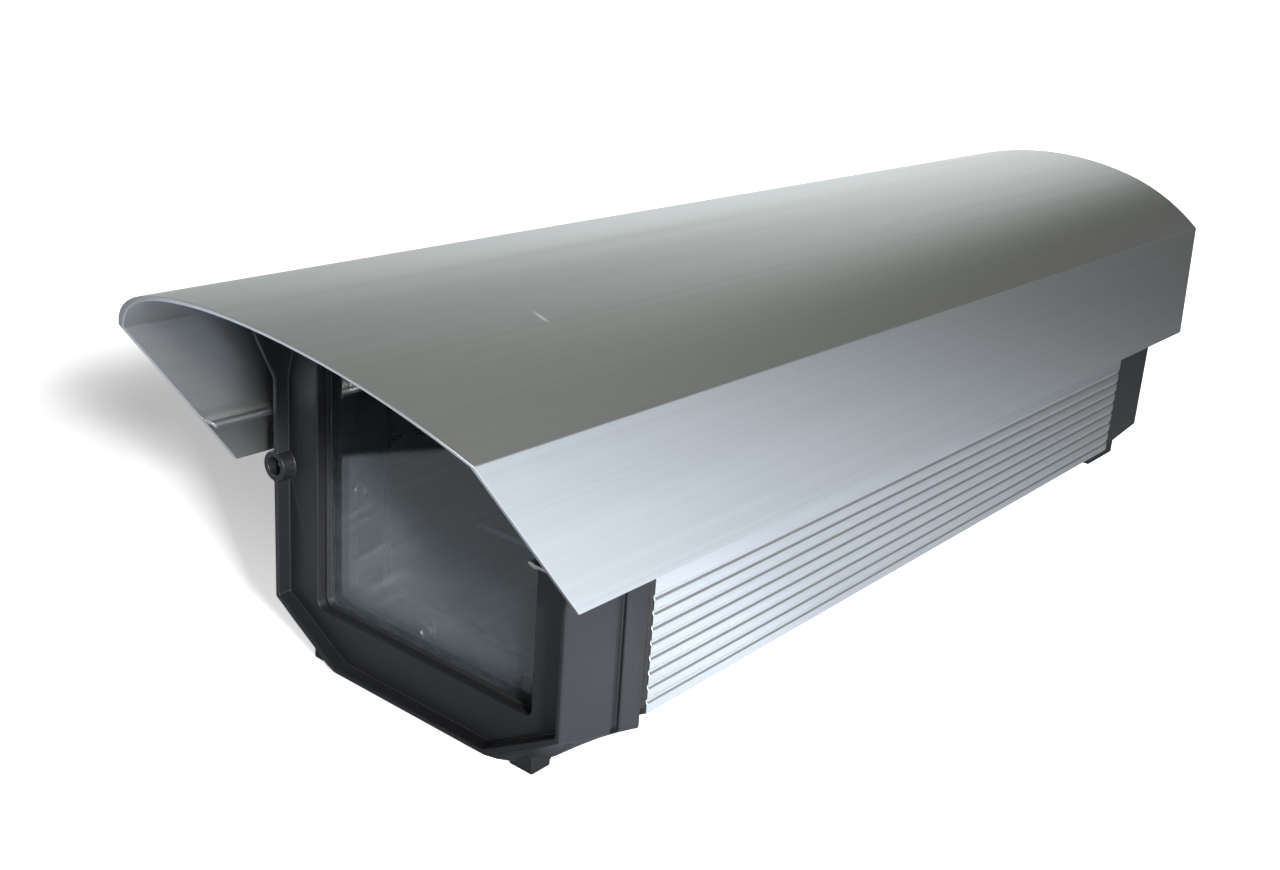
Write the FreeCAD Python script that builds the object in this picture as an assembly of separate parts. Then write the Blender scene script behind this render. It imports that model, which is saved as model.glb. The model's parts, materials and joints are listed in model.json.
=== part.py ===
"""Side-opening aluminium camera housing with a sliding sunshield.

Millimetres. The front of the housing looks along -Y, X runs to its right hand as seen
from the front, Z is up. The origin is the middle bracket hole in the underside.
"""
import FreeCAD, Part
import math
import os

Vector = FreeCAD.Vector

# Extruded body and cover
BODY_LENGTH = 323.0
EXTRUSION_PROUD = 1.2
BODY_CHAMFER_WIDTH = 18.4
BODY_CHAMFER_HEIGHT = 10.5
WALL = 2.2
FLOOR = 2.5
SPLIT_Z = 60.8
EDGE_GASKET = 1.5
FLANGE = 2.0
COVER_END_GAP = 0.15

# Grooves along the outside of the body
GROOVE_PITCH = 4.7
GROOVE_COUNT = 8
GROOVE_FIRST_Z = 14.4
GROOVE_WIDTH = 1.5
GROOVE_DEPTH = 0.8

# Outline shared by the caps and the cover
CAP_HALF_WIDTH = 60.0
SHOULDER_Z = 87.3
CAP_CROWN_Z = 120.0
CAP_CROWN_RADIUS = 150.0
CAP_CORNER_RADIUS = 14.0

# End seals
SEAL_THICKNESS = 1.5
SEAL_INSET = 1.7
SEAL_WIDTH = 3.4

# Front cap
FRONT_CAP_DEPTH = 34.0
CAP_WALL = 3.0
RIM_DEPTH = 4.5
RIM_WALL = 1.6
FACE_THICKNESS = 3.2
FRONT_CHAMFER_WIDTH = 27.8
FRONT_CHAMFER_HEIGHT = 15.85
COLLAR_CHAMFER_HEIGHT = 6.1
HOLLOW_CHAMFER_HEIGHT = 9.0
CORNER_SIDE_WIDTH = 12.7
CORNER_PLAN_RADIUS = 18.0
CORNER_SECTIONS = 6
HOOD_SLOPE = 0.63
COLLAR_GROOVE_START = 21.4
COLLAR_GROOVE_WIDTH = 3.6
COLLAR_GROOVE_DEPTH = 1.3
COLLAR_GROOVE_CHAMFER = 9.1
CAP_FLANGE = 3.0
VIEW_INSIDE = 0.8
VIEW_BELOW = 1.1
VIEW_ABOVE = 1.0

# Window
WINDOW_SIDE_BAND = 14.7
WINDOW_BOTTOM_Z = 15.6
WINDOW_TOP_BAND = 22.0
WINDOW_CORNER_RADIUS = 2.5
GLASS_THICKNESS = 3.0
GLASS_MARGIN = 4.0
WINDOW_GASKET = 1.5
GASKET_PROUD = 0.6
FRAME_CLEARANCE = 0.1
FRAME_THICKNESS = 1.5
FRAME_BAND = 3.0
FRAME_EAR_OUT = 8.6
FRAME_EAR_RADIUS = 3.1
FRAME_EAR_Z = 76.0
FRAME_SCREW_RADIUS = 1.5
FRAME_SCREW_LENGTH = 3.5
FRAME_SCREW_HEAD_RADIUS = 2.7
FRAME_SCREW_HEAD = 1.8

# Rear cap
REAR_CAP_DEPTH = 33.5
REAR_CHAMFER_FRONT = 11.2
REAR_CHAMFER_BACK = 14.7

# Feet moulded under the caps
FOOT_DROP = 2.0
FOOT_WIDTH = 8.8
FOOT_ROOT_Z = 5.0
FRONT_FOOT_INSET = 17.6
FRONT_FOOT_SETBACK = 4.4
FRONT_FOOT_LENGTH = 7.5
REAR_FOOT_INSET = 13.2
REAR_FOOT_SETBACK = 7.0
REAR_FOOT_LENGTH = 26.0

# Hinge along the left side
HINGE_DROP = 1.8
HINGE_PIN_RADIUS = 2.0
HINGE_CLEARANCE = 0.05
KNUCKLE_RADIUS = 4.2
HINGE_BOSS_RADIUS = 4.8
HINGE_PIN_REACH = 20.0
HINGE_PIN_SUNK = 3.0
HINGE_COUNTERBORE_RADIUS = 2.9
HINGE_WALL_GAP = 2.0
HINGE_UPSTAND_OFFSET = 5.0
HINGE_LEDGE_WIDTH = 5.0
GASKET_SIDE_GAP = 0.2
GASKET_INBOARD = 1.0
COVER_LIP_WIDTH = 9.8

# Closing edge on the right side
LEDGE_INWARD = 8.2
LEDGE_OUTWARD = 6.3
CLOSING_SCREW_OUT = 3.2
CLOSING_SCREW_SETBACK = 51.5
CLOSING_SCREW_RADIUS = 2.0
CLOSING_HEAD_RADIUS = 3.0
CLOSING_HEAD = 3.2
CLOSING_CLEARANCE = 0.15
CLOSING_TIP_BACK = 0.2
CLOSING_SLOT_WIDTH = 1.0
CLOSING_SLOT_DEPTH = 1.2

# Screws that hold the caps, and their ports in the body
PORT_RADIUS = 4.2
FLOOR_PORT_X = 22.0
FLOOR_PORT_Z = 7.8
SIDE_PORT_INSET = 7.6
SIDE_PORT_DROP = 14.8
CAP_SCREW_RADIUS = 2.0
CAP_SCREW_CLEARANCE = 0.05
CAP_SCREW_HEAD_RADIUS = 3.2
CAP_SCREW_HEAD = 2.6
CAP_SCREW_GRIP = 12.0

# Rail channels on the cover and hook rails in the sunshield
CHANNEL_GAP = 3.2
CHANNEL_FLANGE = 1.8
CHANNEL_REACH = 6.0
LIP_RISE = 13.1
LIP_THICKNESS = 1.5
BEAD_RADIUS = 1.3
BEAD_OUT = 2.9

# Sunshield
SHIELD_THICKNESS = 1.5
SHIELD_SIDE_GAP = 8.65
SHIELD_TOP_GAP = 11.3
SHIELD_CROWN_RADIUS = 137.0
SHIELD_CROWN_HALF = 33.0
SHIELD_ARCH_RISE = 22.25
FLANK_DEPTH = 48.75
FLANK_SPLAY = 1.75
SHIELD_OVERHANG = 6.5
SHIELD_RAKE = 0.748
SHIELD_REAR_OVERHANG = 8.7

# Screws that lock the sunshield on its rails
LOCK_SCREW_OUT = 3.2
LOCK_SCREW_SETBACK = 31.5
LOCK_SCREW_RADIUS = 1.5
LOCK_HEAD_RADIUS = 2.75
LOCK_HEAD = 3.0
LOCK_CLEARANCE = 0.3
SHIELD_TRAVEL = 25.0

# Camera tray
TRAY_THICKNESS = 2.4
TRAY_SIDE_GAP = 1.0
TRAY_LENGTH = 240.0
TRAY_CORNER = 8.0
TRAY_BOTTOM_Z = 19.7
TRAY_CLEARANCE = 0.1
TRAY_LEDGE = 1.8
TRAY_LEDGE_REACH = 6.5
TRAY_SLOT_WIDTH = 7.0
TRAY_SLOT_LENGTH = 130.0
TRAY_SIDE_SLOT_X = 38.0
TRAY_SIDE_SLOT_LENGTH = 60.0
TRAY_SIDE_SLOT_WIDTH = 5.0
TRAY_LOCK_X = 36.0
TRAY_LOCK_SETBACK = 24.0
TRAY_LOCK_RADIUS = 2.0
TRAY_LOCK_CLEARANCE = 0.05
TRAY_LOCK_KNOB_RADIUS = 7.0
TRAY_LOCK_KNOB = 8.0
CAMERA_SCREW_RADIUS = 3.17
CAMERA_SCREW_NECK_RADIUS = 2.4
CAMERA_SCREW_NECK_ABOVE = 0.7
CAMERA_SCREW_HEAD_RADIUS = 9.0
CAMERA_SCREW_HEAD = 5.0
CAMERA_SCREW_STICKS_UP = 5.8
PAD_SIZE = (34.0, 44.0, 2.0)
PAD_CLEARANCE = 0.2

# Bracket plate in the floor
BRACKET_PLATE_WIDTH = 24.0
BRACKET_PLATE_THICKNESS = 5.0
BRACKET_PLATE_END = 20.0
BRACKET_HOLE_RADIUS = 2.5
BRACKET_HOLE_PITCH = 35.0

# Cable glands in the rear cap
GLAND_X = 24.0
GLAND_Z = 34.0
GLAND_THREAD_RADIUS = 8.0
GLAND_THREAD_CLEARANCE = 0.1
GLAND_HEX_FLATS = 19.0
GLAND_FLANGE = 4.0
GLAND_NECK_RADIUS = 7.5
GLAND_NECK = 8.0
GLAND_BORE_RADIUS = 5.2
GLAND_MOUTH_RADIUS = 6.6
GLAND_MOUTH_DEPTH = 6.0
GLAND_INSIDE = 8.0
LOCK_NUT = 5.0
LOCK_NUT_FLATS = 20.0
NUT_OVERLAP = 6.5
NUT_LENGTH = 14.0
NUT_FRONT = 4.0
NUT_OPENING_RADIUS = 5.6
CABLE_RADIUS = 4.0
SEAL_LENGTH = 8.6
SEAL_CLEARANCE = 0.1

# Places along Y that follow from the lengths above
BODY_FRONT = -BODY_LENGTH / 2
BODY_REAR = BODY_LENGTH / 2
FRONT_CAP_BACK = BODY_FRONT - SEAL_THICKNESS
RIM_Y = FRONT_CAP_BACK - FRONT_CAP_DEPTH
FACE_Y = RIM_Y + RIM_DEPTH
FACE_BACK = FACE_Y + FACE_THICKNESS
GLASS_FRONT = FACE_BACK + WINDOW_GASKET
GLASS_BACK = GLASS_FRONT + GLASS_THICKNESS
FRAME_BACK = GLASS_BACK + FRAME_THICKNESS
REAR_CAP_FRONT = BODY_REAR + SEAL_THICKNESS
REAR_CAP_BACK = REAR_CAP_FRONT + REAR_CAP_DEPTH
REAR_WALL_FRONT = REAR_CAP_BACK - CAP_WALL
SHIELD_REAR = REAR_CAP_BACK + SHIELD_REAR_OVERHANG

# Heights and widths that follow
BODY_HALF_WIDTH = CAP_HALF_WIDTH + EXTRUSION_PROUD
BODY_FLAT_HALF = BODY_HALF_WIDTH - BODY_CHAMFER_WIDTH
FRONT_FLAT_HALF = CAP_HALF_WIDTH - FRONT_CHAMFER_WIDTH
CORNER_FLAT_HALF = CAP_HALF_WIDTH - CORNER_SIDE_WIDTH
WINDOW_HALF_WIDTH = CAP_HALF_WIDTH - WINDOW_SIDE_BAND
WINDOW_TOP_Z = CAP_CROWN_Z - WINDOW_TOP_BAND
FRAME_EAR_X = WINDOW_HALF_WIDTH + FRAME_EAR_OUT
FRONT_FOOT_X = CAP_HALF_WIDTH - FRONT_FOOT_INSET
REAR_FOOT_X = CAP_HALF_WIDTH - REAR_FOOT_INSET
COVER_Z = SPLIT_Z + EDGE_GASKET
HINGE_X = -CAP_HALF_WIDTH
HINGE_Z = SPLIT_Z - HINGE_DROP
HINGE_UPSTAND_X = HINGE_X + HINGE_UPSTAND_OFFSET
COVER_LIP_END = HINGE_X + COVER_LIP_WIDTH
HINGE_SHELF_Z = HINGE_Z - KNUCKLE_RADIUS - HINGE_WALL_GAP
BODY_INNER_HALF = BODY_HALF_WIDTH - WALL
TRAY_HALF_WIDTH = BODY_INNER_HALF - TRAY_SIDE_GAP
TRAY_LOCK_Y = TRAY_LOCK_SETBACK - TRAY_LENGTH / 2
LEDGE_INNER_X = BODY_HALF_WIDTH - LEDGE_INWARD
LEDGE_OUTER_X = BODY_HALF_WIDTH + LEDGE_OUTWARD
CLOSING_SCREW_X = BODY_HALF_WIDTH + CLOSING_SCREW_OUT
LOCK_SCREW_X = BODY_HALF_WIDTH + LOCK_SCREW_OUT
LOCK_SCREW_Y = BODY_REAR - LOCK_SCREW_SETBACK
CHAMFER_SLOPE = FRONT_CHAMFER_HEIGHT / (CAP_HALF_WIDTH - FRONT_FLAT_HALF)
CHANNEL_REACH_X = BODY_HALF_WIDTH + CHANNEL_REACH
LIP_Z = COVER_Z + LIP_RISE
BEAD_X = BODY_HALF_WIDTH + BEAD_OUT
CHANNEL_FLOOR_Z = LIP_Z - CHANNEL_GAP / 2
SHIELD_FOLD_HALF = CAP_HALF_WIDTH + SHIELD_SIDE_GAP
SHIELD_CROWN_Z = CAP_CROWN_Z + SHIELD_TOP_GAP
SHIELD_FOLD_Z = SHIELD_CROWN_Z - SHIELD_ARCH_RISE
FLANK_BOTTOM_HALF = SHIELD_FOLD_HALF + FLANK_SPLAY
FLANK_BOTTOM_Z = SHIELD_FOLD_Z - FLANK_DEPTH

# Reach of a cutter past what it cuts, of a piece into the one it is fused to, and of a
# half space past the whole housing
PAST = 1.0
FAR = 400.0


def on_circle(centre, radius, angle):
    """Point of a circle in the XZ plane."""
    return Vector(centre[0] + radius * math.cos(angle), 0, centre[1] + radius * math.sin(angle))


def arc(centre, radius, start, end):
    """Arc in the XZ plane between two angles."""
    points = [on_circle(centre, radius, a) for a in (start, (start + end) / 2, end)]
    return Part.Arc(*points).toShape()


def crossing(centre_a, radius_a, centre_b, radius_b):
    """The point where two circles cross, on the right when looking from a towards b."""
    run = Vector(centre_b[0] - centre_a[0], 0, centre_b[1] - centre_a[1])
    along = (run.Length ** 2 + radius_a ** 2 - radius_b ** 2) / (2 * run.Length)
    aside = math.sqrt(radius_a ** 2 - along ** 2)
    run.normalize()
    return (centre_a[0] + along * run.x + aside * run.z, centre_a[1] + along * run.z - aside * run.x)


class ShieldArch:
    """Three-centred arch: a wide crown arc tangent to a tighter arc at each shoulder."""

    def __init__(self):
        self.crown_centre = (0, SHIELD_CROWN_Z - SHIELD_CROWN_RADIUS)
        tangent = math.asin(SHIELD_CROWN_HALF / SHIELD_CROWN_RADIUS)
        joint = on_circle(self.crown_centre, SHIELD_CROWN_RADIUS, math.pi / 2 - tangent)
        run = SHIELD_FOLD_HALF - SHIELD_CROWN_HALF
        drop = joint.z - SHIELD_FOLD_Z
        half_turn = math.atan2(drop, run) - tangent
        self.shoulder_radius = math.hypot(run, drop) / (2 * math.sin(half_turn))
        self.shoulder_x = SHIELD_CROWN_HALF - self.shoulder_radius * math.sin(tangent)
        self.shoulder_z = joint.z - self.shoulder_radius * math.cos(tangent)
        self.joint_angle = math.pi / 2 - tangent

    def fold_angle(self, half_width, inset):
        """Angle on the shoulder arc, moved in by inset, at half_width."""
        return math.acos((half_width - self.shoulder_x) / (self.shoulder_radius - inset))

    def fold_z(self, half_width, inset):
        """Height of the fold at half_width on the arch moved in by inset."""
        angle = self.fold_angle(half_width, inset)
        return self.shoulder_z + (self.shoulder_radius - inset) * math.sin(angle)

    def edges(self, half_width, inset):
        """The three arcs from the right fold over the crown to the left fold."""
        start, joint = self.fold_angle(half_width, inset), self.joint_angle
        shoulder = self.shoulder_radius - inset
        left_start, left_joint = math.pi - start, math.pi - joint
        return [arc((self.shoulder_x, self.shoulder_z), shoulder, start, joint),
                arc(self.crown_centre, SHIELD_CROWN_RADIUS - inset, joint, left_joint),
                arc((-self.shoulder_x, self.shoulder_z), shoulder, left_joint, left_start)]


class HousingTop:
    """Top of the housing's outline.

    Each shoulder is struck about the hinge height on the far side, so that the sunshield's
    hook rail swings past it when the cover opens. A small corner joins it to the crown.
    """

    def __init__(self):
        self.hinge = (HINGE_X, HINGE_Z)
        self.crown = (0, CAP_CROWN_Z - CAP_CROWN_RADIUS)
        self.shoulder_radius = math.hypot(CAP_HALF_WIDTH - HINGE_X, SHOULDER_Z - HINGE_Z)
        self.corner = crossing(self.crown, CAP_CROWN_RADIUS - CAP_CORNER_RADIUS,
                               self.hinge, self.shoulder_radius - CAP_CORNER_RADIUS)
        self.shoulder_end = self.angle_from(self.hinge)
        self.crown_end = self.angle_from(self.crown)

    def angle_from(self, centre):
        """Direction from a centre to the right corner's centre."""
        return math.atan2(self.corner[1] - centre[1], self.corner[0] - centre[0])

    def side_angle(self, half_width, inset):
        """Angle on the shoulder arc, moved in by inset, where it meets the side."""
        return math.acos((half_width - HINGE_X) / (self.shoulder_radius - inset))

    def side_top(self, half_width, inset):
        """Height at which the upright side ends."""
        angle = self.side_angle(half_width, inset)
        return HINGE_Z + (self.shoulder_radius - inset) * math.sin(angle)

    def edges(self, half_width, inset):
        """The five arcs from the right side over the crown to the left side."""
        side, shoulder, crown = self.side_angle(half_width, inset), self.shoulder_end, self.crown_end
        shoulder_radius = self.shoulder_radius - inset
        corner_radius = CAP_CORNER_RADIUS - inset
        right = [(self.hinge, shoulder_radius, side, shoulder),
                 (self.corner, corner_radius, shoulder, crown)]
        left = [((-centre[0], centre[1]), radius, math.pi - end, math.pi - start)
                for centre, radius, start, end in reversed(right)]
        top = (self.crown, CAP_CROWN_RADIUS - inset, crown, math.pi - crown)
        return [arc(*values) for values in right + [top] + left]


SHIELD_ARCH = ShieldArch()
HOUSING_TOP = HousingTop()


def along_y(edges, y_start, y_end):
    """Solid with a closed XZ outline, from y_start to y_end."""
    face = Part.Face(Part.Wire(edges))
    face.translate(Vector(0, y_start, 0))
    return face.extrude(Vector(0, y_end - y_start, 0))


def straight_edges(points):
    """Line edges through (x, z) points."""
    corners = [Vector(x, 0, z) for x, z in points]
    return [Part.LineSegment(a, b).toShape() for a, b in zip(corners, corners[1:])]


def prism(points, y_start, y_end):
    """Solid with a polygon of (x, z) points as its section."""
    return along_y(straight_edges(list(points) + [points[0]]), y_start, y_end)


def block(x0, x1, y0, y1, z0, z1):
    """Box between two corners."""
    return Part.makeBox(x1 - x0, y1 - y0, z1 - z0, Vector(x0, y0, z0))


def rod_y(x, z, radius, y_start, y_end):
    """Cylinder along Y."""
    return Part.makeCylinder(radius, y_end - y_start, Vector(x, y_start, z), Vector(0, 1, 0))


def rod_z(x, y, radius, z_start, z_end):
    """Cylinder along Z."""
    return Part.makeCylinder(radius, z_end - z_start, Vector(x, y, z_start), Vector(0, 0, 1))


def hexagon_y(x, z, flats, y_start, y_end):
    """Hexagonal bar along Y."""
    radius = flats / math.sqrt(3)
    angles = [math.radians(60 * i + 30) for i in range(6)]
    points = [(x + radius * math.cos(a), z + radius * math.sin(a)) for a in angles]
    return prism(points, y_start, y_end)


def mirrored(shape):
    """The same shape on the other side of the YZ plane."""
    return shape.mirror(Vector(0, 0, 0), Vector(1, 0, 0))


def both_sides(shape):
    """A shape and its mirror image."""
    return [shape, mirrored(shape)]


def joined(shapes):
    """One clean solid from overlapping shapes."""
    return shapes[0].multiFuse(shapes[1:]).removeSplitter()


def chamfered_foot(half_width, chamfer_height, slope, inset):
    """Lower outline, left side to right side, moved in by inset all round."""
    flat_half = half_width - chamfer_height / slope
    slant = inset * math.sqrt(1 + slope ** 2)
    side_x = half_width - inset
    side_z = slope * (side_x - flat_half) + slant
    floor_x = flat_half + (inset - slant) / slope
    return [(-side_x, side_z), (-floor_x, inset), (floor_x, inset), (side_x, side_z)]


def arched_blank(half_width, chamfer_height, slope, inset, arch_inset, y_start, y_end):
    """Solid with the housing's full outline: chamfered floor, upright sides, arched top."""
    foot = chamfered_foot(half_width, chamfer_height, slope, inset)
    side_x = half_width - inset
    top_z = HOUSING_TOP.side_top(side_x, arch_inset)
    points = [(-side_x, top_z)] + foot + [(side_x, top_z)]
    return along_y(straight_edges(points) + HOUSING_TOP.edges(side_x, arch_inset), y_start, y_end)


def body_blank(inset, y_start, y_end):
    """The extrusions' outline, moved in by inset."""
    slope = BODY_CHAMFER_HEIGHT / (BODY_HALF_WIDTH - BODY_FLAT_HALF)
    return arched_blank(BODY_HALF_WIDTH, BODY_CHAMFER_HEIGHT, slope, inset,
                        inset - EXTRUSION_PROUD, y_start, y_end)


def facet_cutter(y_front, y_back, height_front, height_back, inset):
    """Half space outside a corner facet whose height changes from front to back."""
    run = height_front / CHAMFER_SLOPE
    depth = y_back - y_front
    normal = Vector(height_front * depth, -run * (height_front - height_back), -run * depth)
    normal.normalize()
    on_plane = Vector(CAP_HALF_WIDTH, y_front, height_front) - normal * inset
    cutter = Part.makeBox(FAR, FAR, FAR / 4, Vector(-FAR / 2, -FAR / 2, 0))
    cutter.Placement = FreeCAD.Placement(on_plane, FreeCAD.Rotation(Vector(0, 0, 1), normal))
    return cutter


def corner_section(flat_half, depth):
    """Triangle below the front cap's right corner facet, at a depth behind the rim."""
    fall = (FRONT_CHAMFER_HEIGHT - COLLAR_CHAMFER_HEIGHT) * depth / FRONT_CAP_DEPTH
    side_z = FRONT_CHAMFER_HEIGHT - fall
    slope = side_z / (CAP_HALF_WIDTH - flat_half)
    outer_x, low_z = CAP_HALF_WIDTH + CAP_WALL, -CAP_WALL
    points = [(flat_half + low_z / slope, low_z), (outer_x, side_z + CAP_WALL * slope),
              (outer_x, low_z)]
    corners = [Vector(x, RIM_Y + depth, z) for x, z in points]
    return Part.makePolygon(corners + corners[:1])


def corner_cutters():
    """All that lies below the curved facet under the front cap's right corner.

    The facet joins a flat underside with a rounded plan corner to a side edge that falls
    in a straight line from the rim to the collar.
    """
    centre_x = CORNER_FLAT_HALF - CORNER_PLAN_RADIUS
    first = math.acos((FRONT_FLAT_HALF - centre_x) / CORNER_PLAN_RADIUS)
    arc_depth = CORNER_PLAN_RADIUS * math.sin(first)
    turns = [first * (1 - i / CORNER_SECTIONS) for i in range(CORNER_SECTIONS + 1)]
    curved = [corner_section(centre_x + CORNER_PLAN_RADIUS * math.cos(turn),
                             arc_depth - CORNER_PLAN_RADIUS * math.sin(turn)) for turn in turns]
    collar_flat = CAP_HALF_WIDTH - COLLAR_CHAMFER_HEIGHT / CHAMFER_SLOPE
    before = [corner_section(FRONT_FLAT_HALF, -PAST), curved[0]]
    after = [curved[-1], corner_section(collar_flat, FRONT_CAP_DEPTH + PAST)]
    return [Part.makeLoft(sections, True, True) for sections in (before, curved, after)]


def front_cap_section(chamfer_height, inset, y_start, y_end):
    """Straight length of the front cap's outline, moved in by inset."""
    return arched_blank(CAP_HALF_WIDTH, chamfer_height, CHAMFER_SLOPE, inset, inset, y_start, y_end)


def front_cap_blank(y_start, y_end):
    """Front cap outline with its curved lower corner facets."""
    blank = front_cap_section(COLLAR_CHAMFER_HEIGHT / 2, 0, y_start, y_end)
    cutters = corner_cutters()
    return blank.cut(cutters + [mirrored(cutter) for cutter in cutters])


def rear_cap_blank(inset, y_start, y_end):
    """Rear cap outline: its corner facets grow towards the back."""
    blank = arched_blank(CAP_HALF_WIDTH, REAR_CHAMFER_FRONT, CHAMFER_SLOPE, inset, inset,
                         y_start, y_end)
    cutter = facet_cutter(REAR_CAP_FRONT, REAR_CAP_BACK, REAR_CHAMFER_FRONT,
                          REAR_CHAMFER_BACK, inset)
    return blank.cut(both_sides(cutter))


def hood_trim():
    """All that lies in front of the upright rim and of the hood's leaning edge."""
    top = CAP_CROWN_Z + PAST
    profile = [(-FAR, -FAR), (RIM_Y, -FAR), (RIM_Y, SHOULDER_Z),
               (RIM_Y - HOOD_SLOPE * (top - SHOULDER_Z), top), (-FAR, top)]
    corners = [Vector(-FAR, y, z) for y, z in profile + profile[:1]]
    return Part.Face(Part.makePolygon(corners)).extrude(Vector(2 * FAR, 0, 0))


def rounded_window(margin, y_start, y_end):
    """Upright prism of the window opening, larger by margin all round."""
    x = WINDOW_HALF_WIDTH + margin
    body = block(-x, x, y_start, y_end, WINDOW_BOTTOM_Z - margin, WINDOW_TOP_Z + margin)
    corners = [e for e in body.Edges if abs(e.tangentAt(0).y) > 0.9]
    return body.makeFillet(WINDOW_CORNER_RADIUS, corners)


def port_points():
    """Centres of the four screw ports as (x, z)."""
    places = ((FLOOR_PORT_X, FLOOR_PORT_Z),
              (BODY_HALF_WIDTH - SIDE_PORT_INSET, SPLIT_Z - SIDE_PORT_DROP))
    return [(side * x, z) for x, z in places for side in (1, -1)]


def tray_ledges(y_start, y_end):
    """Ledges that make the two grooves the tray slides in."""
    inner = BODY_INNER_HALF - TRAY_LEDGE_REACH
    low = TRAY_BOTTOM_Z - TRAY_CLEARANCE
    high = TRAY_BOTTOM_Z + TRAY_THICKNESS + TRAY_CLEARANCE
    outer = BODY_HALF_WIDTH - GROOVE_DEPTH
    shapes = []
    for z in (low - TRAY_LEDGE, high):
        shapes += both_sides(block(inner, outer, y_start, y_end, z, z + TRAY_LEDGE))
    return shapes


def screw_ports(y_start, y_end):
    """Round ports along the body, each tied to the floor or the side wall by a web."""
    shapes = [rod_y(x, z, PORT_RADIUS, y_start, y_end) for x, z in port_points()]
    half_web = PORT_RADIUS / 2
    (floor_x, floor_z), (side_x, side_z) = port_points()[::2]
    floor_web = block(floor_x - half_web, floor_x + half_web, y_start, y_end,
                      FLOOR / 2, floor_z)
    side_web = block(side_x, BODY_HALF_WIDTH - GROOVE_DEPTH, y_start, y_end,
                     side_z - half_web, side_z + half_web)
    return shapes + both_sides(floor_web) + both_sides(side_web)


def side_grooves(y_start, y_end):
    """Tapered grooves along both outer sides."""
    shapes = []
    outer = BODY_HALF_WIDTH + GROOVE_DEPTH
    for i in range(GROOVE_COUNT):
        z = GROOVE_FIRST_Z + i * GROOVE_PITCH
        points = [(outer, z - GROOVE_WIDTH), (BODY_HALF_WIDTH - GROOVE_DEPTH, z - GROOVE_WIDTH / 4),
                  (BODY_HALF_WIDTH - GROOVE_DEPTH, z + GROOVE_WIDTH / 4), (outer, z + GROOVE_WIDTH)]
        shapes += both_sides(prism(points, y_start, y_end))
    return shapes


def closing_ledge(z):
    """Flat strip that carries or presses the gasket on the closing side."""
    return block(LEDGE_INNER_X, LEDGE_OUTER_X, BODY_FRONT, BODY_REAR, z, z + FLANGE)


def lower_body():
    """Ribbed U-shaped extrusion with tray grooves, screw ports and sealing ledges."""
    outer = body_blank(0, BODY_FRONT, BODY_REAR)
    hollow = body_blank(WALL, BODY_FRONT - PAST, BODY_REAR + PAST)
    floor = block(-BODY_FLAT_HALF, BODY_FLAT_HALF, BODY_FRONT, BODY_REAR, 0, FLOOR)
    trough = joined([outer.cut(hollow), floor])
    above = block(-FAR, FAR, -FAR, FAR, SPLIT_Z, FAR)
    above_shelf = block(-FAR, HINGE_UPSTAND_X, -FAR, FAR, HINGE_SHELF_Z, FAR)
    trough = trough.cut([above, above_shelf])
    shelf = block(-BODY_INNER_HALF - WALL / 2, HINGE_UPSTAND_X + WALL, BODY_FRONT, BODY_REAR,
                  HINGE_SHELF_Z - FLANGE, HINGE_SHELF_Z)
    upstand = block(HINGE_UPSTAND_X, HINGE_UPSTAND_X + WALL, BODY_FRONT, BODY_REAR,
                    HINGE_SHELF_Z - FLANGE, SPLIT_Z)
    ledge = block(HINGE_UPSTAND_X, HINGE_UPSTAND_X + HINGE_LEDGE_WIDTH, BODY_FRONT, BODY_REAR,
                  SPLIT_Z - FLANGE, SPLIT_Z)
    parts = [trough, shelf, upstand, ledge, closing_ledge(SPLIT_Z - FLANGE)]
    parts += tray_ledges(BODY_FRONT, BODY_REAR) + screw_ports(BODY_FRONT, BODY_REAR)
    holes = side_grooves(BODY_FRONT - PAST, BODY_REAR + PAST)
    port_radius = CAP_SCREW_RADIUS + CAP_SCREW_CLEARANCE
    holes += [rod_y(x, z, port_radius, BODY_FRONT - PAST, BODY_REAR + PAST)
              for x, z in port_points()]
    holes += bracket_holes(-PAST, FLOOR + PAST)
    holes += [rod_z(CLOSING_SCREW_X, y, CLOSING_SCREW_RADIUS + CLOSING_CLEARANCE,
                    SPLIT_Z - FLANGE - PAST, SPLIT_Z + PAST) for y in closing_screw_ys()]
    return joined(parts).cut(holes)


def rail_channel():
    """The two flanges that stand out of the cover's right side and hold a hook rail."""
    inner = BODY_HALF_WIDTH - WALL / 2
    low = CHANNEL_FLOOR_Z - CHANNEL_FLANGE
    high = CHANNEL_FLOOR_Z + CHANNEL_GAP
    return [block(inner, CHANNEL_REACH_X, BODY_FRONT, BODY_REAR, z, z + CHANNEL_FLANGE)
            for z in (low, high)]


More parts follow.
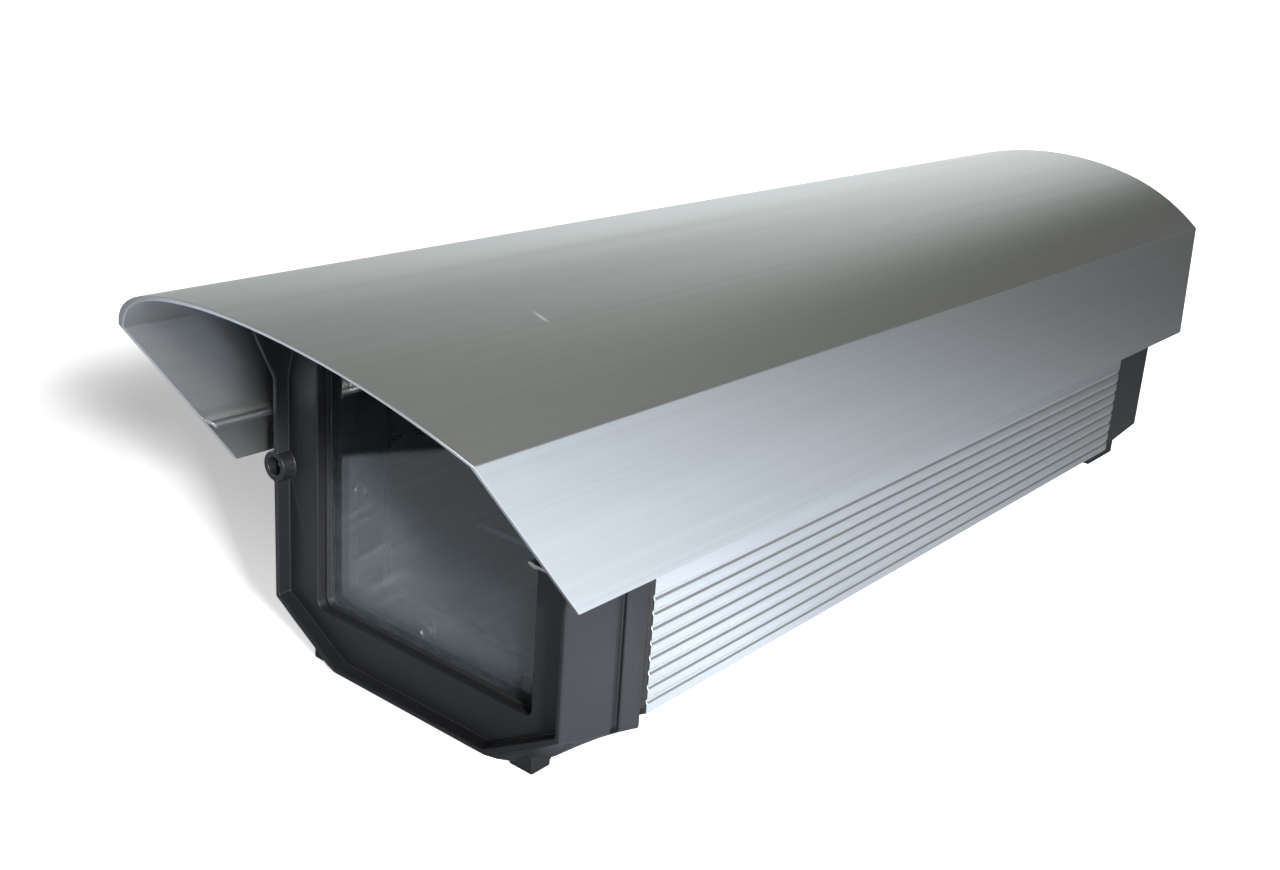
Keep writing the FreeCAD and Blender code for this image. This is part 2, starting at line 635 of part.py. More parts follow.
def cover_shell():
    """Arched upper extrusion that swings about the knuckle on its left edge."""
    hollow = body_blank(WALL, BODY_FRONT - PAST, BODY_REAR + PAST)
    below = block(-FAR, FAR, -FAR, FAR, -FAR, COVER_Z)
    wall = body_blank(0, BODY_FRONT, BODY_REAR).cut([hollow, below])
    knuckle = rod_y(HINGE_X, HINGE_Z, KNUCKLE_RADIUS, BODY_FRONT, BODY_REAR)
    lip = block(HINGE_X, COVER_LIP_END, BODY_FRONT, BODY_REAR, COVER_Z, COVER_Z + FLANGE)
    parts = [wall, knuckle, lip, closing_ledge(COVER_Z)]
    for flange in rail_channel():
        parts += both_sides(flange)
    holes = [rod_y(HINGE_X, HINGE_Z, HINGE_PIN_RADIUS + HINGE_CLEARANCE, -FAR, FAR)]
    holes += [rod_z(CLOSING_SCREW_X, y, CLOSING_SCREW_RADIUS, COVER_Z - PAST, COVER_Z + FLANGE + PAST)
              for y in closing_screw_ys()]
    holes += both_sides(rod_z(LOCK_SCREW_X, LOCK_SCREW_Y, LOCK_SCREW_RADIUS,
                              CHANNEL_FLOOR_Z - CHANNEL_FLANGE - PAST, CHANNEL_FLOOR_Z + PAST))
    ends = [block(-FAR, FAR, BODY_FRONT - PAST, BODY_FRONT + COVER_END_GAP, -FAR, FAR),
            block(-FAR, FAR, BODY_REAR - COVER_END_GAP, BODY_REAR + PAST, -FAR, FAR)]
    return joined(parts).cut(holes + ends)


def closing_screw_ys():
    """Places of the two closing screws along the housing."""
    return (BODY_FRONT + CLOSING_SCREW_SETBACK, BODY_REAR - CLOSING_SCREW_SETBACK)


def closing_screws():
    """Two captive screws that pull the cover's edge down on its gasket."""
    seat = COVER_Z + FLANGE
    screws = []
    for y in closing_screw_ys():
        head = rod_z(CLOSING_SCREW_X, y, CLOSING_HEAD_RADIUS, seat, seat + CLOSING_HEAD)
        shaft = rod_z(CLOSING_SCREW_X, y, CLOSING_SCREW_RADIUS,
                      SPLIT_Z - FLANGE + CLOSING_TIP_BACK, seat + PAST)
        slot = block(CLOSING_SCREW_X - FAR, CLOSING_SCREW_X + FAR,
                     y - CLOSING_SLOT_WIDTH / 2, y + CLOSING_SLOT_WIDTH / 2,
                     seat + CLOSING_HEAD - CLOSING_SLOT_DEPTH, seat + CLOSING_HEAD + PAST)
        screws.append(joined([head, shaft]).cut(slot))
    return Part.makeCompound(screws)


def shield_lock_screws():
    """Two screws from below whose pegs run in the slots of the hook rails."""
    seat = CHANNEL_FLOOR_Z - CHANNEL_FLANGE
    tip = LIP_Z + LIP_THICKNESS
    head = rod_z(LOCK_SCREW_X, LOCK_SCREW_Y, LOCK_HEAD_RADIUS, seat - LOCK_HEAD, seat)
    shaft = rod_z(LOCK_SCREW_X, LOCK_SCREW_Y, LOCK_SCREW_RADIUS, seat - PAST, tip)
    return Part.makeCompound(both_sides(joined([head, shaft])))


def shield_profile():
    """Closed section of the sunshield's skin: two splayed flanks and the arch."""
    arch, t = SHIELD_ARCH, SHIELD_THICKNESS
    fold_in = SHIELD_FOLD_HALF - t
    outer_z = arch.fold_z(SHIELD_FOLD_HALF, 0)
    inner_z = arch.fold_z(fold_in, t)
    bottom_in = FLANK_BOTTOM_HALF - t
    left = straight_edges([(-SHIELD_FOLD_HALF, outer_z), (-FLANK_BOTTOM_HALF, FLANK_BOTTOM_Z),
                           (-bottom_in, FLANK_BOTTOM_Z), (-fold_in, inner_z)])
    right = straight_edges([(fold_in, inner_z), (bottom_in, FLANK_BOTTOM_Z),
                            (FLANK_BOTTOM_HALF, FLANK_BOTTOM_Z), (SHIELD_FOLD_HALF, outer_z)])
    return arch.edges(SHIELD_FOLD_HALF, 0) + left + arch.edges(fold_in, t)[::-1] + right


def sunshield():
    """Arched shield with hook rails, its front sawn off along one leaning plane."""
    front = RIM_Y - SHIELD_OVERHANG - SHIELD_RAKE * (SHIELD_CROWN_Z - FLANK_BOTTOM_Z) - PAST
    edges = Part.__sortEdges__(shield_profile())
    skin = along_y(edges, front, SHIELD_REAR)
    half_lip = LIP_THICKNESS / 2
    into_flank = (FLANK_BOTTOM_HALF + SHIELD_FOLD_HALF) / 2 - SHIELD_THICKNESS / 2
    lip = block(BEAD_X, into_flank, front, SHIELD_REAR, LIP_Z - half_lip, LIP_Z + half_lip)
    bead = rod_y(BEAD_X, LIP_Z, BEAD_RADIUS, front, SHIELD_REAR)
    slot_half = LOCK_SCREW_RADIUS + LOCK_CLEARANCE
    slot_reach = SHIELD_TRAVEL + slot_half
    slot = block(LOCK_SCREW_X - slot_half, LOCK_SCREW_X + slot_half, LOCK_SCREW_Y - slot_reach,
                 LOCK_SCREW_Y + slot_reach, LIP_Z - 2 * BEAD_RADIUS, LIP_Z + 2 * BEAD_RADIUS)
    shield = joined([skin] + both_sides(lip) + both_sides(bead))
    return shield.cut(both_sides(slot) + [saw_cut()])


def saw_cut():
    """All that lies in front of the sunshield's leaning front plane."""
    low, high = -FAR, FAR
    foot_y = RIM_Y - SHIELD_OVERHANG
    profile = [(foot_y - SHIELD_RAKE * (z - FLANK_BOTTOM_Z), z) for z in (low, high)]
    profile += [(-4 * FAR, high), (-4 * FAR, low)]
    corners = [Vector(-FAR, y, z) for y, z in profile + profile[:1]]
    return Part.Face(Part.makePolygon(corners)).extrude(Vector(2 * FAR, 0, 0))


def foot_pair(x, y_start, length):
    """Two moulded feet under a cap."""
    half = FOOT_WIDTH / 2
    return both_sides(block(x - half, x + half, y_start, y_start + length, -FOOT_DROP, FOOT_ROOT_Z))


def cap_screw_holes(y_start, y_end):
    """Clearance holes for the cap screws."""
    radius = CAP_SCREW_RADIUS + CAP_SCREW_CLEARANCE
    return [rod_y(x, z, radius, y_start, y_end) for x, z in port_points()]


def hinge_boss(y_start, y_end):
    """Boss at mid height on the left side that carries a hinge pin."""
    return rod_y(HINGE_X, HINGE_Z, HINGE_BOSS_RADIUS, y_start, y_end)


def collar_groove():
    """Groove round the front cap's collar."""
    start = RIM_Y + COLLAR_GROOVE_START
    end = start + COLLAR_GROOVE_WIDTH
    core = front_cap_section(COLLAR_GROOVE_CHAMFER, COLLAR_GROOVE_DEPTH, start, end)
    ring = front_cap_section(COLLAR_CHAMFER_HEIGHT / 2, 0, start, end).cut(core)
    return ring.cut(hinge_boss(start, end))


def frame_ear_points():
    """Centres of the retaining frame's two ears as (x, z)."""
    return [(side * FRAME_EAR_X, FRAME_EAR_Z) for side in (1, -1)]


def front_cap():
    """Moulded bezel with raised rim, hood, window opening, collar groove, boss and feet."""
    front = RIM_Y - HOOD_SLOPE * (CAP_CROWN_Z - SHOULDER_Z) - PAST
    outer = front_cap_blank(front, FRONT_CAP_BACK).cut(hood_trim())
    outer = joined([outer] + foot_pair(FRONT_FOOT_X, RIM_Y + FRONT_FOOT_SETBACK,
                                       FRONT_FOOT_LENGTH))
    recess = front_cap_section(FRONT_CHAMFER_HEIGHT, RIM_WALL, front - PAST, FACE_Y)
    hollow = front_cap_section(HOLLOW_CHAMFER_HEIGHT, CAP_WALL, FACE_BACK,
                               FRONT_CAP_BACK - CAP_FLANGE)
    view_half = WINDOW_HALF_WIDTH - VIEW_INSIDE
    view = block(-view_half, view_half, FACE_BACK, FRONT_CAP_BACK + PAST,
                 WINDOW_BOTTOM_Z - VIEW_BELOW, WINDOW_TOP_Z + VIEW_ABOVE)
    shell = outer.cut([recess, hollow, view, rounded_window(0, front, FACE_BACK + PAST),
                       collar_groove()])
    bosses = [rod_y(x, z, FRAME_EAR_RADIUS + FRAME_CLEARANCE, FACE_Y + PAST, GLASS_BACK)
              for x, z in frame_ear_points()]
    cap = joined([shell] + bosses + [hinge_boss(RIM_Y, FRONT_CAP_BACK)])
    holes = cap_screw_holes(FACE_BACK, FRONT_CAP_BACK + PAST)
    holes += [rod_y(x, z, FRAME_SCREW_RADIUS, GLASS_BACK - FRAME_SCREW_LENGTH, GLASS_BACK + PAST)
              for x, z in frame_ear_points()]
    holes.append(rod_y(HINGE_X, HINGE_Z, HINGE_PIN_RADIUS, RIM_Y - PAST, FRONT_CAP_BACK + PAST))
    holes.append(rod_y(HINGE_X, HINGE_Z, HINGE_COUNTERBORE_RADIUS, RIM_Y - PAST,
                       RIM_Y + HINGE_PIN_SUNK))
    return cap.cut(holes)


def rear_cap():
    """Moulded rear cap with gland holes, screw tunnels, hinge boss and feet."""
    outer = joined([rear_cap_blank(0, REAR_CAP_FRONT, REAR_CAP_BACK)]
                   + foot_pair(REAR_FOOT_X, REAR_CAP_FRONT + REAR_FOOT_SETBACK, REAR_FOOT_LENGTH))
    hollow = rear_cap_blank(CAP_WALL, REAR_CAP_FRONT - PAST, REAR_WALL_FRONT)
    tunnels = [rod_y(x, z, PORT_RADIUS, REAR_CAP_FRONT, REAR_WALL_FRONT + PAST)
               for x, z in port_points()]
    cap = joined([outer.cut(hollow)] + tunnels + [hinge_boss(REAR_CAP_FRONT, REAR_CAP_BACK)])
    holes = cap_screw_holes(REAR_CAP_FRONT - PAST, REAR_CAP_BACK + PAST)
    holes += [rod_y(x, GLAND_Z, GLAND_THREAD_RADIUS + GLAND_THREAD_CLEARANCE,
                    REAR_WALL_FRONT - PAST, REAR_CAP_BACK + PAST) for x in gland_xs()]
    holes.append(rod_y(HINGE_X, HINGE_Z, HINGE_PIN_RADIUS, REAR_CAP_FRONT - PAST, REAR_CAP_BACK + PAST))
    holes.append(rod_y(HINGE_X, HINGE_Z, HINGE_COUNTERBORE_RADIUS,
                       REAR_CAP_BACK - HINGE_PIN_SUNK, REAR_CAP_BACK + PAST))
    return cap.cut(holes)


def window_glass():
    """Flat window pane."""
    margin = GLASS_MARGIN
    return rounded_window(margin, GLASS_FRONT, GLASS_BACK)


def window_gasket():
    """Rubber frame between the face and the glass, showing a little inside the opening."""
    outer = rounded_window(GLASS_MARGIN, FACE_BACK, GLASS_FRONT)
    return outer.cut(rounded_window(-GASKET_PROUD, FACE_BACK - PAST, GLASS_FRONT + PAST))


def window_retaining_frame():
    """Sheet frame with an ear on each side that clamps the glass from inside."""
    ears = [rod_y(x, z, FRAME_EAR_RADIUS, GLASS_BACK, FRAME_BACK) for x, z in frame_ear_points()]
    for x, z in frame_ear_points():
        near, far = sorted((x, math.copysign(WINDOW_HALF_WIDTH + GLASS_MARGIN - PAST, x)))
        ears.append(block(near, far, GLASS_BACK, FRAME_BACK, z - FRAME_EAR_RADIUS,
                          z + FRAME_EAR_RADIUS))
    sheet = joined([rounded_window(GLASS_MARGIN, GLASS_BACK, FRAME_BACK)] + ears)
    opening = rounded_window(GLASS_MARGIN - FRAME_BAND, GLASS_BACK - PAST, FRAME_BACK + PAST)
    holes = [rod_y(x, z, FRAME_SCREW_RADIUS + FRAME_CLEARANCE, GLASS_BACK - PAST, FRAME_BACK + PAST)
             for x, z in frame_ear_points()]
    return sheet.cut([opening] + holes)


def window_frame_screws():
    """Two small screws of the retaining frame."""
    screws = []
    for x, z in frame_ear_points():
        shaft = rod_y(x, z, FRAME_SCREW_RADIUS, GLASS_BACK - FRAME_SCREW_LENGTH, FRAME_BACK + PAST)
        head = rod_y(x, z, FRAME_SCREW_HEAD_RADIUS, FRAME_BACK, FRAME_BACK + FRAME_SCREW_HEAD)
        screws.append(joined([shaft, head]))
    return Part.makeCompound(screws)


def end_seal(y_start):
    """Ring seal between a cap and the extrusions, open where the hinge passes."""
    y_end = y_start + SEAL_THICKNESS
    ring = body_blank(SEAL_INSET, y_start, y_end)
    ring = ring.cut(body_blank(SEAL_INSET + SEAL_WIDTH, y_start - PAST, y_end + PAST))
    return ring.cut(rod_y(HINGE_X, HINGE_Z, HINGE_BOSS_RADIUS, y_start - PAST, y_end + PAST))


def cap_screws(head_start, head_end, shaft_start, shaft_end):
    """Four screws along Y with their heads between two places."""
    screws = []
    for x, z in port_points():
        head = rod_y(x, z, CAP_SCREW_HEAD_RADIUS, head_start, head_end)
        shaft = rod_y(x, z, CAP_SCREW_RADIUS, shaft_start, shaft_end)
        screws.append(joined([head, shaft]))
    return Part.makeCompound(screws)


def front_cap_screws():
    """Screws inside the collar, through its flange into the body's ports."""
    seat = FRONT_CAP_BACK - CAP_FLANGE
    return cap_screws(seat - CAP_SCREW_HEAD, seat, seat - PAST, BODY_FRONT + CAP_SCREW_GRIP)


def rear_cap_screws():
    """Long screws from the rear face, through the tunnels into the body's ports."""
    seat = REAR_CAP_BACK
    return cap_screws(seat, seat + CAP_SCREW_HEAD, BODY_REAR - CAP_SCREW_GRIP, seat + PAST)


def hinge_pin(y_start, y_end):
    """Steel pin from a cap's boss into the cover's knuckle."""
    return rod_y(HINGE_X, HINGE_Z, HINGE_PIN_RADIUS, y_start, y_end)


def hinge_side_gasket():
    """Rubber strip under the cover's lip on the hinge side."""
    return block(HINGE_UPSTAND_X + GASKET_SIDE_GAP,
                 HINGE_UPSTAND_X + HINGE_LEDGE_WIDTH - GASKET_SIDE_GAP,
                 BODY_FRONT, BODY_REAR, SPLIT_Z, COVER_Z)


def closing_side_gasket():
    """Rubber strip between the ledges on the closing side, inboard of the screws."""
    return block(LEDGE_INNER_X + GASKET_INBOARD,
                 CLOSING_SCREW_X - CLOSING_HEAD_RADIUS - GASKET_INBOARD,
                 BODY_FRONT, BODY_REAR, SPLIT_Z, COVER_Z)


def rounded_slot(x, y, length, width, z_start, z_end):
    """Slot along Y with round ends."""
    half, run = width / 2, (length - width) / 2
    parts = [block(x - half, x + half, y - run, y + run, z_start, z_end)]
    parts += [rod_z(x, y + end, half, z_start, z_end) for end in (-run, run)]
    return joined(parts)


def camera_tray():
    """Sliding plate with a long camera slot and two side slots."""
    x, y, c = TRAY_HALF_WIDTH, TRAY_LENGTH / 2, TRAY_CORNER
    outline = [(-x, -y + c), (-x + c, -y), (x - c, -y), (x, -y + c),
               (x, y - c), (x - c, y), (-x + c, y), (-x, y - c)]
    corners = [Vector(px, py, TRAY_BOTTOM_Z) for px, py in outline + outline[:1]]
    plate = Part.Face(Part.makePolygon(corners)).extrude(Vector(0, 0, TRAY_THICKNESS))
    z0, z1 = TRAY_BOTTOM_Z - PAST, TRAY_BOTTOM_Z + TRAY_THICKNESS + PAST
    slots = [rounded_slot(0, 0, TRAY_SLOT_LENGTH, TRAY_SLOT_WIDTH, z0, z1)]
    slots += both_sides(rounded_slot(TRAY_SIDE_SLOT_X, 0, TRAY_SIDE_SLOT_LENGTH,
                                     TRAY_SIDE_SLOT_WIDTH, z0, z1))
    slots.append(rod_z(TRAY_LOCK_X, TRAY_LOCK_Y, TRAY_LOCK_RADIUS + TRAY_LOCK_CLEARANCE, z0, z1))
    return plate.cut(slots)


def tray_lock_screw():
    """Thumb screw through the tray whose tip stands just off the body's floor."""
    seat = TRAY_BOTTOM_Z + TRAY_THICKNESS
    knob = rod_z(TRAY_LOCK_X, TRAY_LOCK_Y, TRAY_LOCK_KNOB_RADIUS, seat, seat + TRAY_LOCK_KNOB)
    shaft = rod_z(TRAY_LOCK_X, TRAY_LOCK_Y, TRAY_LOCK_RADIUS, FLOOR + TRAY_CLEARANCE, seat + PAST)
    return joined([knob, shaft])


def camera_screw():
    """Captive thumb screw from below the tray: a thin neck, then the camera's thread."""
    pad_top = TRAY_BOTTOM_Z + TRAY_THICKNESS + PAD_SIZE[2]
    thread_start = pad_top + CAMERA_SCREW_NECK_ABOVE
    head = rod_z(0, 0, CAMERA_SCREW_HEAD_RADIUS, TRAY_BOTTOM_Z - CAMERA_SCREW_HEAD, TRAY_BOTTOM_Z)
    neck = rod_z(0, 0, CAMERA_SCREW_NECK_RADIUS, TRAY_BOTTOM_Z - PAST, thread_start + PAST)
    thread = rod_z(0, 0, CAMERA_SCREW_RADIUS, thread_start, pad_top + CAMERA_SCREW_STICKS_UP)
    return joined([head, neck, thread])


def insulating_pad():
    """Plastic pad between the tray and the camera."""
    x, y, t = PAD_SIZE
    z = TRAY_BOTTOM_Z + TRAY_THICKNESS
    pad = block(-x / 2, x / 2, -y / 2, y / 2, z, z + t)
    return pad.cut(rod_z(0, 0, CAMERA_SCREW_RADIUS + PAD_CLEARANCE, z - PAST, z + t + PAST))


def bracket_holes(z_start, z_end):
    """Three holes in line for the wall bracket's bolts."""
    return [rod_z(0, i * BRACKET_HOLE_PITCH, BRACKET_HOLE_RADIUS, z_start, z_end)
            for i in (-1, 0, 1)]


def bracket_plate():
    """Tapped steel plate that lies on the floor."""
    half_width = BRACKET_PLATE_WIDTH / 2
    half_length = BRACKET_HOLE_PITCH + BRACKET_PLATE_END
    top = FLOOR + BRACKET_PLATE_THICKNESS
    plate = block(-half_width, half_width, -half_length, half_length, FLOOR, top)
    return plate.cut(bracket_holes(FLOOR - PAST, top + PAST))


def gland_xs():
    """Places of the cable glands across the housing."""
    return (-GLAND_X, GLAND_X)


def gland_body(x):
    """Gland body: thread through the wall, hexagon flange and neck."""
    flange_end = REAR_CAP_BACK + GLAND_FLANGE
    neck_end = flange_end + GLAND_NECK
    inner_end = REAR_WALL_FRONT - GLAND_INSIDE
    parts = [rod_y(x, GLAND_Z, GLAND_THREAD_RADIUS, inner_end, REAR_CAP_BACK + PAST),
             hexagon_y(x, GLAND_Z, GLAND_HEX_FLATS, REAR_CAP_BACK, flange_end),
             rod_y(x, GLAND_Z, GLAND_NECK_RADIUS, flange_end - PAST, neck_end)]
    return joined(parts).cut([
        rod_y(x, GLAND_Z, GLAND_BORE_RADIUS, inner_end - PAST, neck_end + PAST),
        rod_y(x, GLAND_Z, GLAND_MOUTH_RADIUS, neck_end - GLAND_MOUTH_DEPTH, neck_end + PAST)])


def gland_seal(x):
    """Rubber ring in the gland's mouth that grips the cable."""
    start = REAR_CAP_BACK + GLAND_FLANGE + GLAND_NECK - GLAND_MOUTH_DEPTH
    ring = rod_y(x, GLAND_Z, GLAND_MOUTH_RADIUS - SEAL_CLEARANCE, start, start + SEAL_LENGTH)
    return ring.cut(rod_y(x, GLAND_Z, CABLE_RADIUS, start - PAST, start + SEAL_LENGTH + PAST))


def gland_nut(x):
    """Hexagon nut that squeezes the seal."""
    neck_end = REAR_CAP_BACK + GLAND_FLANGE + GLAND_NECK
    start = neck_end - NUT_OVERLAP
    end = start + NUT_LENGTH
    nut = hexagon_y(x, GLAND_Z, GLAND_HEX_FLATS, start, end)
    return nut.cut([rod_y(x, GLAND_Z, GLAND_NECK_RADIUS + GLAND_THREAD_CLEARANCE,
                          start - PAST, end - NUT_FRONT),
                    rod_y(x, GLAND_Z, NUT_OPENING_RADIUS, start - PAST, end + PAST)])


def gland_lock_nut(x):
    """Flat hexagon nut inside the rear wall."""
    start = REAR_WALL_FRONT - LOCK_NUT
    nut = hexagon_y(x, GLAND_Z, LOCK_NUT_FLATS, start, REAR_WALL_FRONT)
    return nut.cut(rod_y(x, GLAND_Z, GLAND_THREAD_RADIUS + GLAND_THREAD_CLEARANCE,
                         start - PAST, REAR_WALL_FRONT + PAST))


def one_per_gland(make):
    """The same piece at each gland's place."""
    return Part.makeCompound([make(x) for x in gland_xs()])


def all_pieces():
    """Every piece of the housing by its node name."""
    return {
        "lower_body": lower_body(),
        "cover_shell": cover_shell(),
        "sunshield": sunshield(),
        "front_cap": front_cap(),
        "rear_cap": rear_cap(),
        "window_glass": window_glass(),
        "window_gasket": window_gasket(),
        "window_retaining_frame": window_retaining_frame(),
        "window_frame_screws": window_frame_screws(),
        "front_seal": end_seal(FRONT_CAP_BACK),
        "rear_seal": end_seal(BODY_REAR),
        "front_cap_screws": front_cap_screws(),
        "rear_cap_screws": rear_cap_screws(),
        "hinge_pin_front": hinge_pin(RIM_Y + HINGE_PIN_SUNK, BODY_FRONT + HINGE_PIN_REACH),
        "hinge_pin_rear": hinge_pin(BODY_REAR - HINGE_PIN_REACH, REAR_CAP_BACK - HINGE_PIN_SUNK),
        "hinge_side_gasket": hinge_side_gasket(),
        "closing_side_gasket": closing_side_gasket(),
        "closing_screws": closing_screws(),
        "shield_lock_screws": shield_lock_screws(),
        "camera_tray": camera_tray(),
        "tray_lock_screw": tray_lock_screw(),
        "camera_screw": camera_screw(),
        "insulating_pad": insulating_pad(),
        "bracket_plate": bracket_plate(),
        "cable_gland_bodies": one_per_gland(gland_body),
        "cable_gland_seals": one_per_gland(gland_seal),
        "cable_gland_nuts": one_per_gland(gland_nut),
        "cable_gland_lock_nuts": one_per_gland(gland_lock_nut),
    }


os.makedirs("parts", exist_ok=True)
for node, shape in all_pieces().items():
    shape.exportStep(os.path.join("parts", node + ".step"))
    print(node, len(shape.Solids), shape.isValid(), round(shape.Volume / 1000, 2), "cm3")
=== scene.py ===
"""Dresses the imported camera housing: softened edges, finishes, small hardware and studio.

Metres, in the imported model's frame: the window looks along -Y, +X is on the right of a
viewer who faces the window, and +Z is up.
"""
import json
import logging
import math
from dataclasses import dataclass, replace
from enum import Enum
from typing import Callable, Iterable, Sequence

import bpy
from mathutils import Color, Matrix, Vector

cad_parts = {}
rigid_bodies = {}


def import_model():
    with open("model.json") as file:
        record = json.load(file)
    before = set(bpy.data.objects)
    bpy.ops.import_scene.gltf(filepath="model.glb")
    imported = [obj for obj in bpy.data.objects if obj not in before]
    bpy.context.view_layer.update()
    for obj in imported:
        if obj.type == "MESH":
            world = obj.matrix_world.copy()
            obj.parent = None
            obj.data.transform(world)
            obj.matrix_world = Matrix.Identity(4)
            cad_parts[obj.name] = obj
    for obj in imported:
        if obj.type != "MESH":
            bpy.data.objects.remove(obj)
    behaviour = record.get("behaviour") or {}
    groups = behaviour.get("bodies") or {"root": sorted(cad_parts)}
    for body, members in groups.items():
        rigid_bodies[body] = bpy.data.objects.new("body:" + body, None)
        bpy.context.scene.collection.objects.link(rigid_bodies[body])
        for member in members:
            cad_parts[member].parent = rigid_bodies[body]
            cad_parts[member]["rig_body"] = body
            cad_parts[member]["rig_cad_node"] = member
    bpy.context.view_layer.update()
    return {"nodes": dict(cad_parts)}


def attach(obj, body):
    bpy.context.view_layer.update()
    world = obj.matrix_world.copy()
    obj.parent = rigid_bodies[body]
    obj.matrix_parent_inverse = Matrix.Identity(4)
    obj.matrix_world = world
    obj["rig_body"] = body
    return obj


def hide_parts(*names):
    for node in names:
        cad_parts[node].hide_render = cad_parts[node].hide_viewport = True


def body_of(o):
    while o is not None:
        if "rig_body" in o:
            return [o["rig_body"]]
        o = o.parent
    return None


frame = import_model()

LOG = logging.getLogger("housing")
MM = 0.001

# Numbers of the Mix node's sockets, for colours and for plain values, which share their names
MIX_FACTOR, MIX_A, MIX_B, MIX_RESULT = 0, 6, 7, 2
MIX_VALUE_A, MIX_VALUE_B, MIX_VALUE_RESULT = 2, 3, 0
# Share of a spot in which its mask is highest
SPOT_CORE = 0.3
# Edges that turn by less than the first are flat, and by more than the second are sharp
FLAT, SHARP = math.radians(0.5), math.radians(32)
# Points of a mesh that lie closer together than this are one
WELD_M = 1e-6
# Least share of Y in a sawn face's normal, and of an axis in that of a face square to it
SAWN_FACING, SQUARE = 0.6, 0.9
# Corners of a turned circle
ROUND = 40
# Shares of X and Y in a direction on the floor
ALONG_X, ALONG_Y = (1.0, 0.0), (0.0, 1.0)

Colour = tuple[float, float, float, float]
Place = tuple[float, float, float]
Span = tuple[float, float]
Tones = tuple[str, str]
Tree = bpy.types.NodeTree
Node = bpy.types.Node
Socket = bpy.types.NodeSocket
Piece = bpy.types.Object


def linear(hex_colour: str) -> Colour:
    """Turns an sRGB hex colour to linear light.

    Args:
        hex_colour: Colour such as "#c0c4c8".

    Returns:
        Linear red, green, blue and an alpha of 1.
    """
    shown = Color([int(hex_colour[i:i + 2], 16) / 255 for i in (1, 3, 5)])
    return *shown.from_srgb_to_scene_linear(), 1.0


def add_node(tree: Tree, kind: str, settings: dict | None = None, links: dict | None = None) -> Node:
    """Adds a node with its settings and links.

    Args:
        tree: Node tree that gets the node.
        kind: Blender's name of the node type.
        settings: Values by input name, input number or property name.
        links: Output sockets by the name or number of the input that they feed.

    Returns:
        The new node.
    """
    node = tree.nodes.new(kind)
    for name, value in (settings or {}).items():
        if isinstance(name, int) or name in node.inputs:
            node.inputs[name].default_value = value
        else:
            setattr(node, name, value)
    for name, socket in (links or {}).items():
        tree.links.new(socket, node.inputs[name])
    return node


def fold(tree: Tree, operation: str, values: Sequence[Socket]) -> Socket:
    """Joins values, one after another, by one math operation.

    Args:
        tree: Node tree to add to.
        operation: The math node's operation, such as MULTIPLY.
        values: The values to join.

    Returns:
        The joined value.
    """
    joined = values[0]
    for value in values[1:]:
        node = add_node(tree, "ShaderNodeMath", {"operation": operation}, {0: joined, 1: value})
        joined = node.outputs["Value"]
    return joined


def spot(tree: Tree, middle_mm: Place, half_mm: Place, height: float = 1.0) -> Socket:
    """Adds a soft mask that is highest in the middle of an ellipsoid and 0 outside it.

    Args:
        tree: Node tree to add to.
        middle_mm: Middle of the ellipsoid in the object's frame.
        half_mm: Its three half sizes.
        height: The mask's highest value.

    Returns:
        The mask.
    """
    place = add_node(tree, "ShaderNodeTexCoord").outputs["Object"]
    offset = [-middle / half for middle, half in zip(middle_mm, half_mm)]
    scaled = add_node(tree, "ShaderNodeMapping",
                      {"Location": offset, "Scale": [1 / (half * MM) for half in half_mm]},
                      {"Vector": place})
    away = add_node(tree, "ShaderNodeVectorMath", {"operation": "LENGTH"},
                    {0: scaled.outputs["Vector"]})
    mask = add_node(tree, "ShaderNodeMapRange",
                    {"From Min": 1.0, "From Max": SPOT_CORE, "To Max": height},
                    {"Value": away.outputs["Value"]})
    return mask.outputs["Result"]


class Finish:
    """A surface finish, made once as a Blender material and shared by its pieces."""

    name: str

    def paint(self, tree: Tree) -> Node:
        """Adds the finish's nodes.

        Args:
            tree: The material's node tree.

        Returns:
            The shader.
        """
        raise NotImplementedError

    def material(self) -> bpy.types.Material:
        """Makes the material, or finds it if it is made already.

        Returns:
            The finish's material.
        """
        found = bpy.data.materials.get(self.name)
        if found is not None:
            return found
        made = bpy.data.materials.new(self.name)
        made.use_nodes = True
        tree = made.node_tree
        tree.nodes.clear()
        surface = self.paint(tree).outputs[0]
        add_node(tree, "ShaderNodeOutputMaterial", links={"Surface": surface})
        return made


class GrainedFinish(Finish):
    """A finish of two tones with a fine relief."""

    tones: Tones
    roughness: float | Span
    relief: float
    depth_mm: float

    def shader(self, tree: Tree, tone: Socket, height: Socket, settings: dict,
               rough: Socket | None = None, under: Socket | None = None) -> Node:
        """Adds the shader with its tones and its relief.

        Args:
            tree: The material's node tree.
            tone: Where the second tone shows.
            height: Height of the relief.
            settings: What is even all over, by the shader's input.
            rough: Where the surface is roughest, or None for an even one.
            under: Normals of a relief below this one.

        Returns:
            The shader.
        """
        first, second = map(linear, self.tones)
        colour = add_node(tree, "ShaderNodeMix",
                          {"data_type": "RGBA", MIX_A: first, MIX_B: second}, {MIX_FACTOR: tone})
        bump = add_node(tree, "ShaderNodeBump",
                        {"Strength": self.relief, "Distance": self.depth_mm * MM},
                        {"Height": height, **({"Normal": under} if under else {})})
        links = {"Base Color": colour.outputs[MIX_RESULT], "Normal": bump.outputs["Normal"]}
        if rough is None:
            settings = {**settings, "Roughness": self.roughness}
        else:
            low, high = self.roughness
            links["Roughness"] = add_node(tree, "ShaderNodeMapRange",
                                          {"To Min": low, "To Max": high},
                                          {"Value": rough}).outputs["Result"]
        return add_node(tree, "ShaderNodeBsdfPrincipled", settings, links)


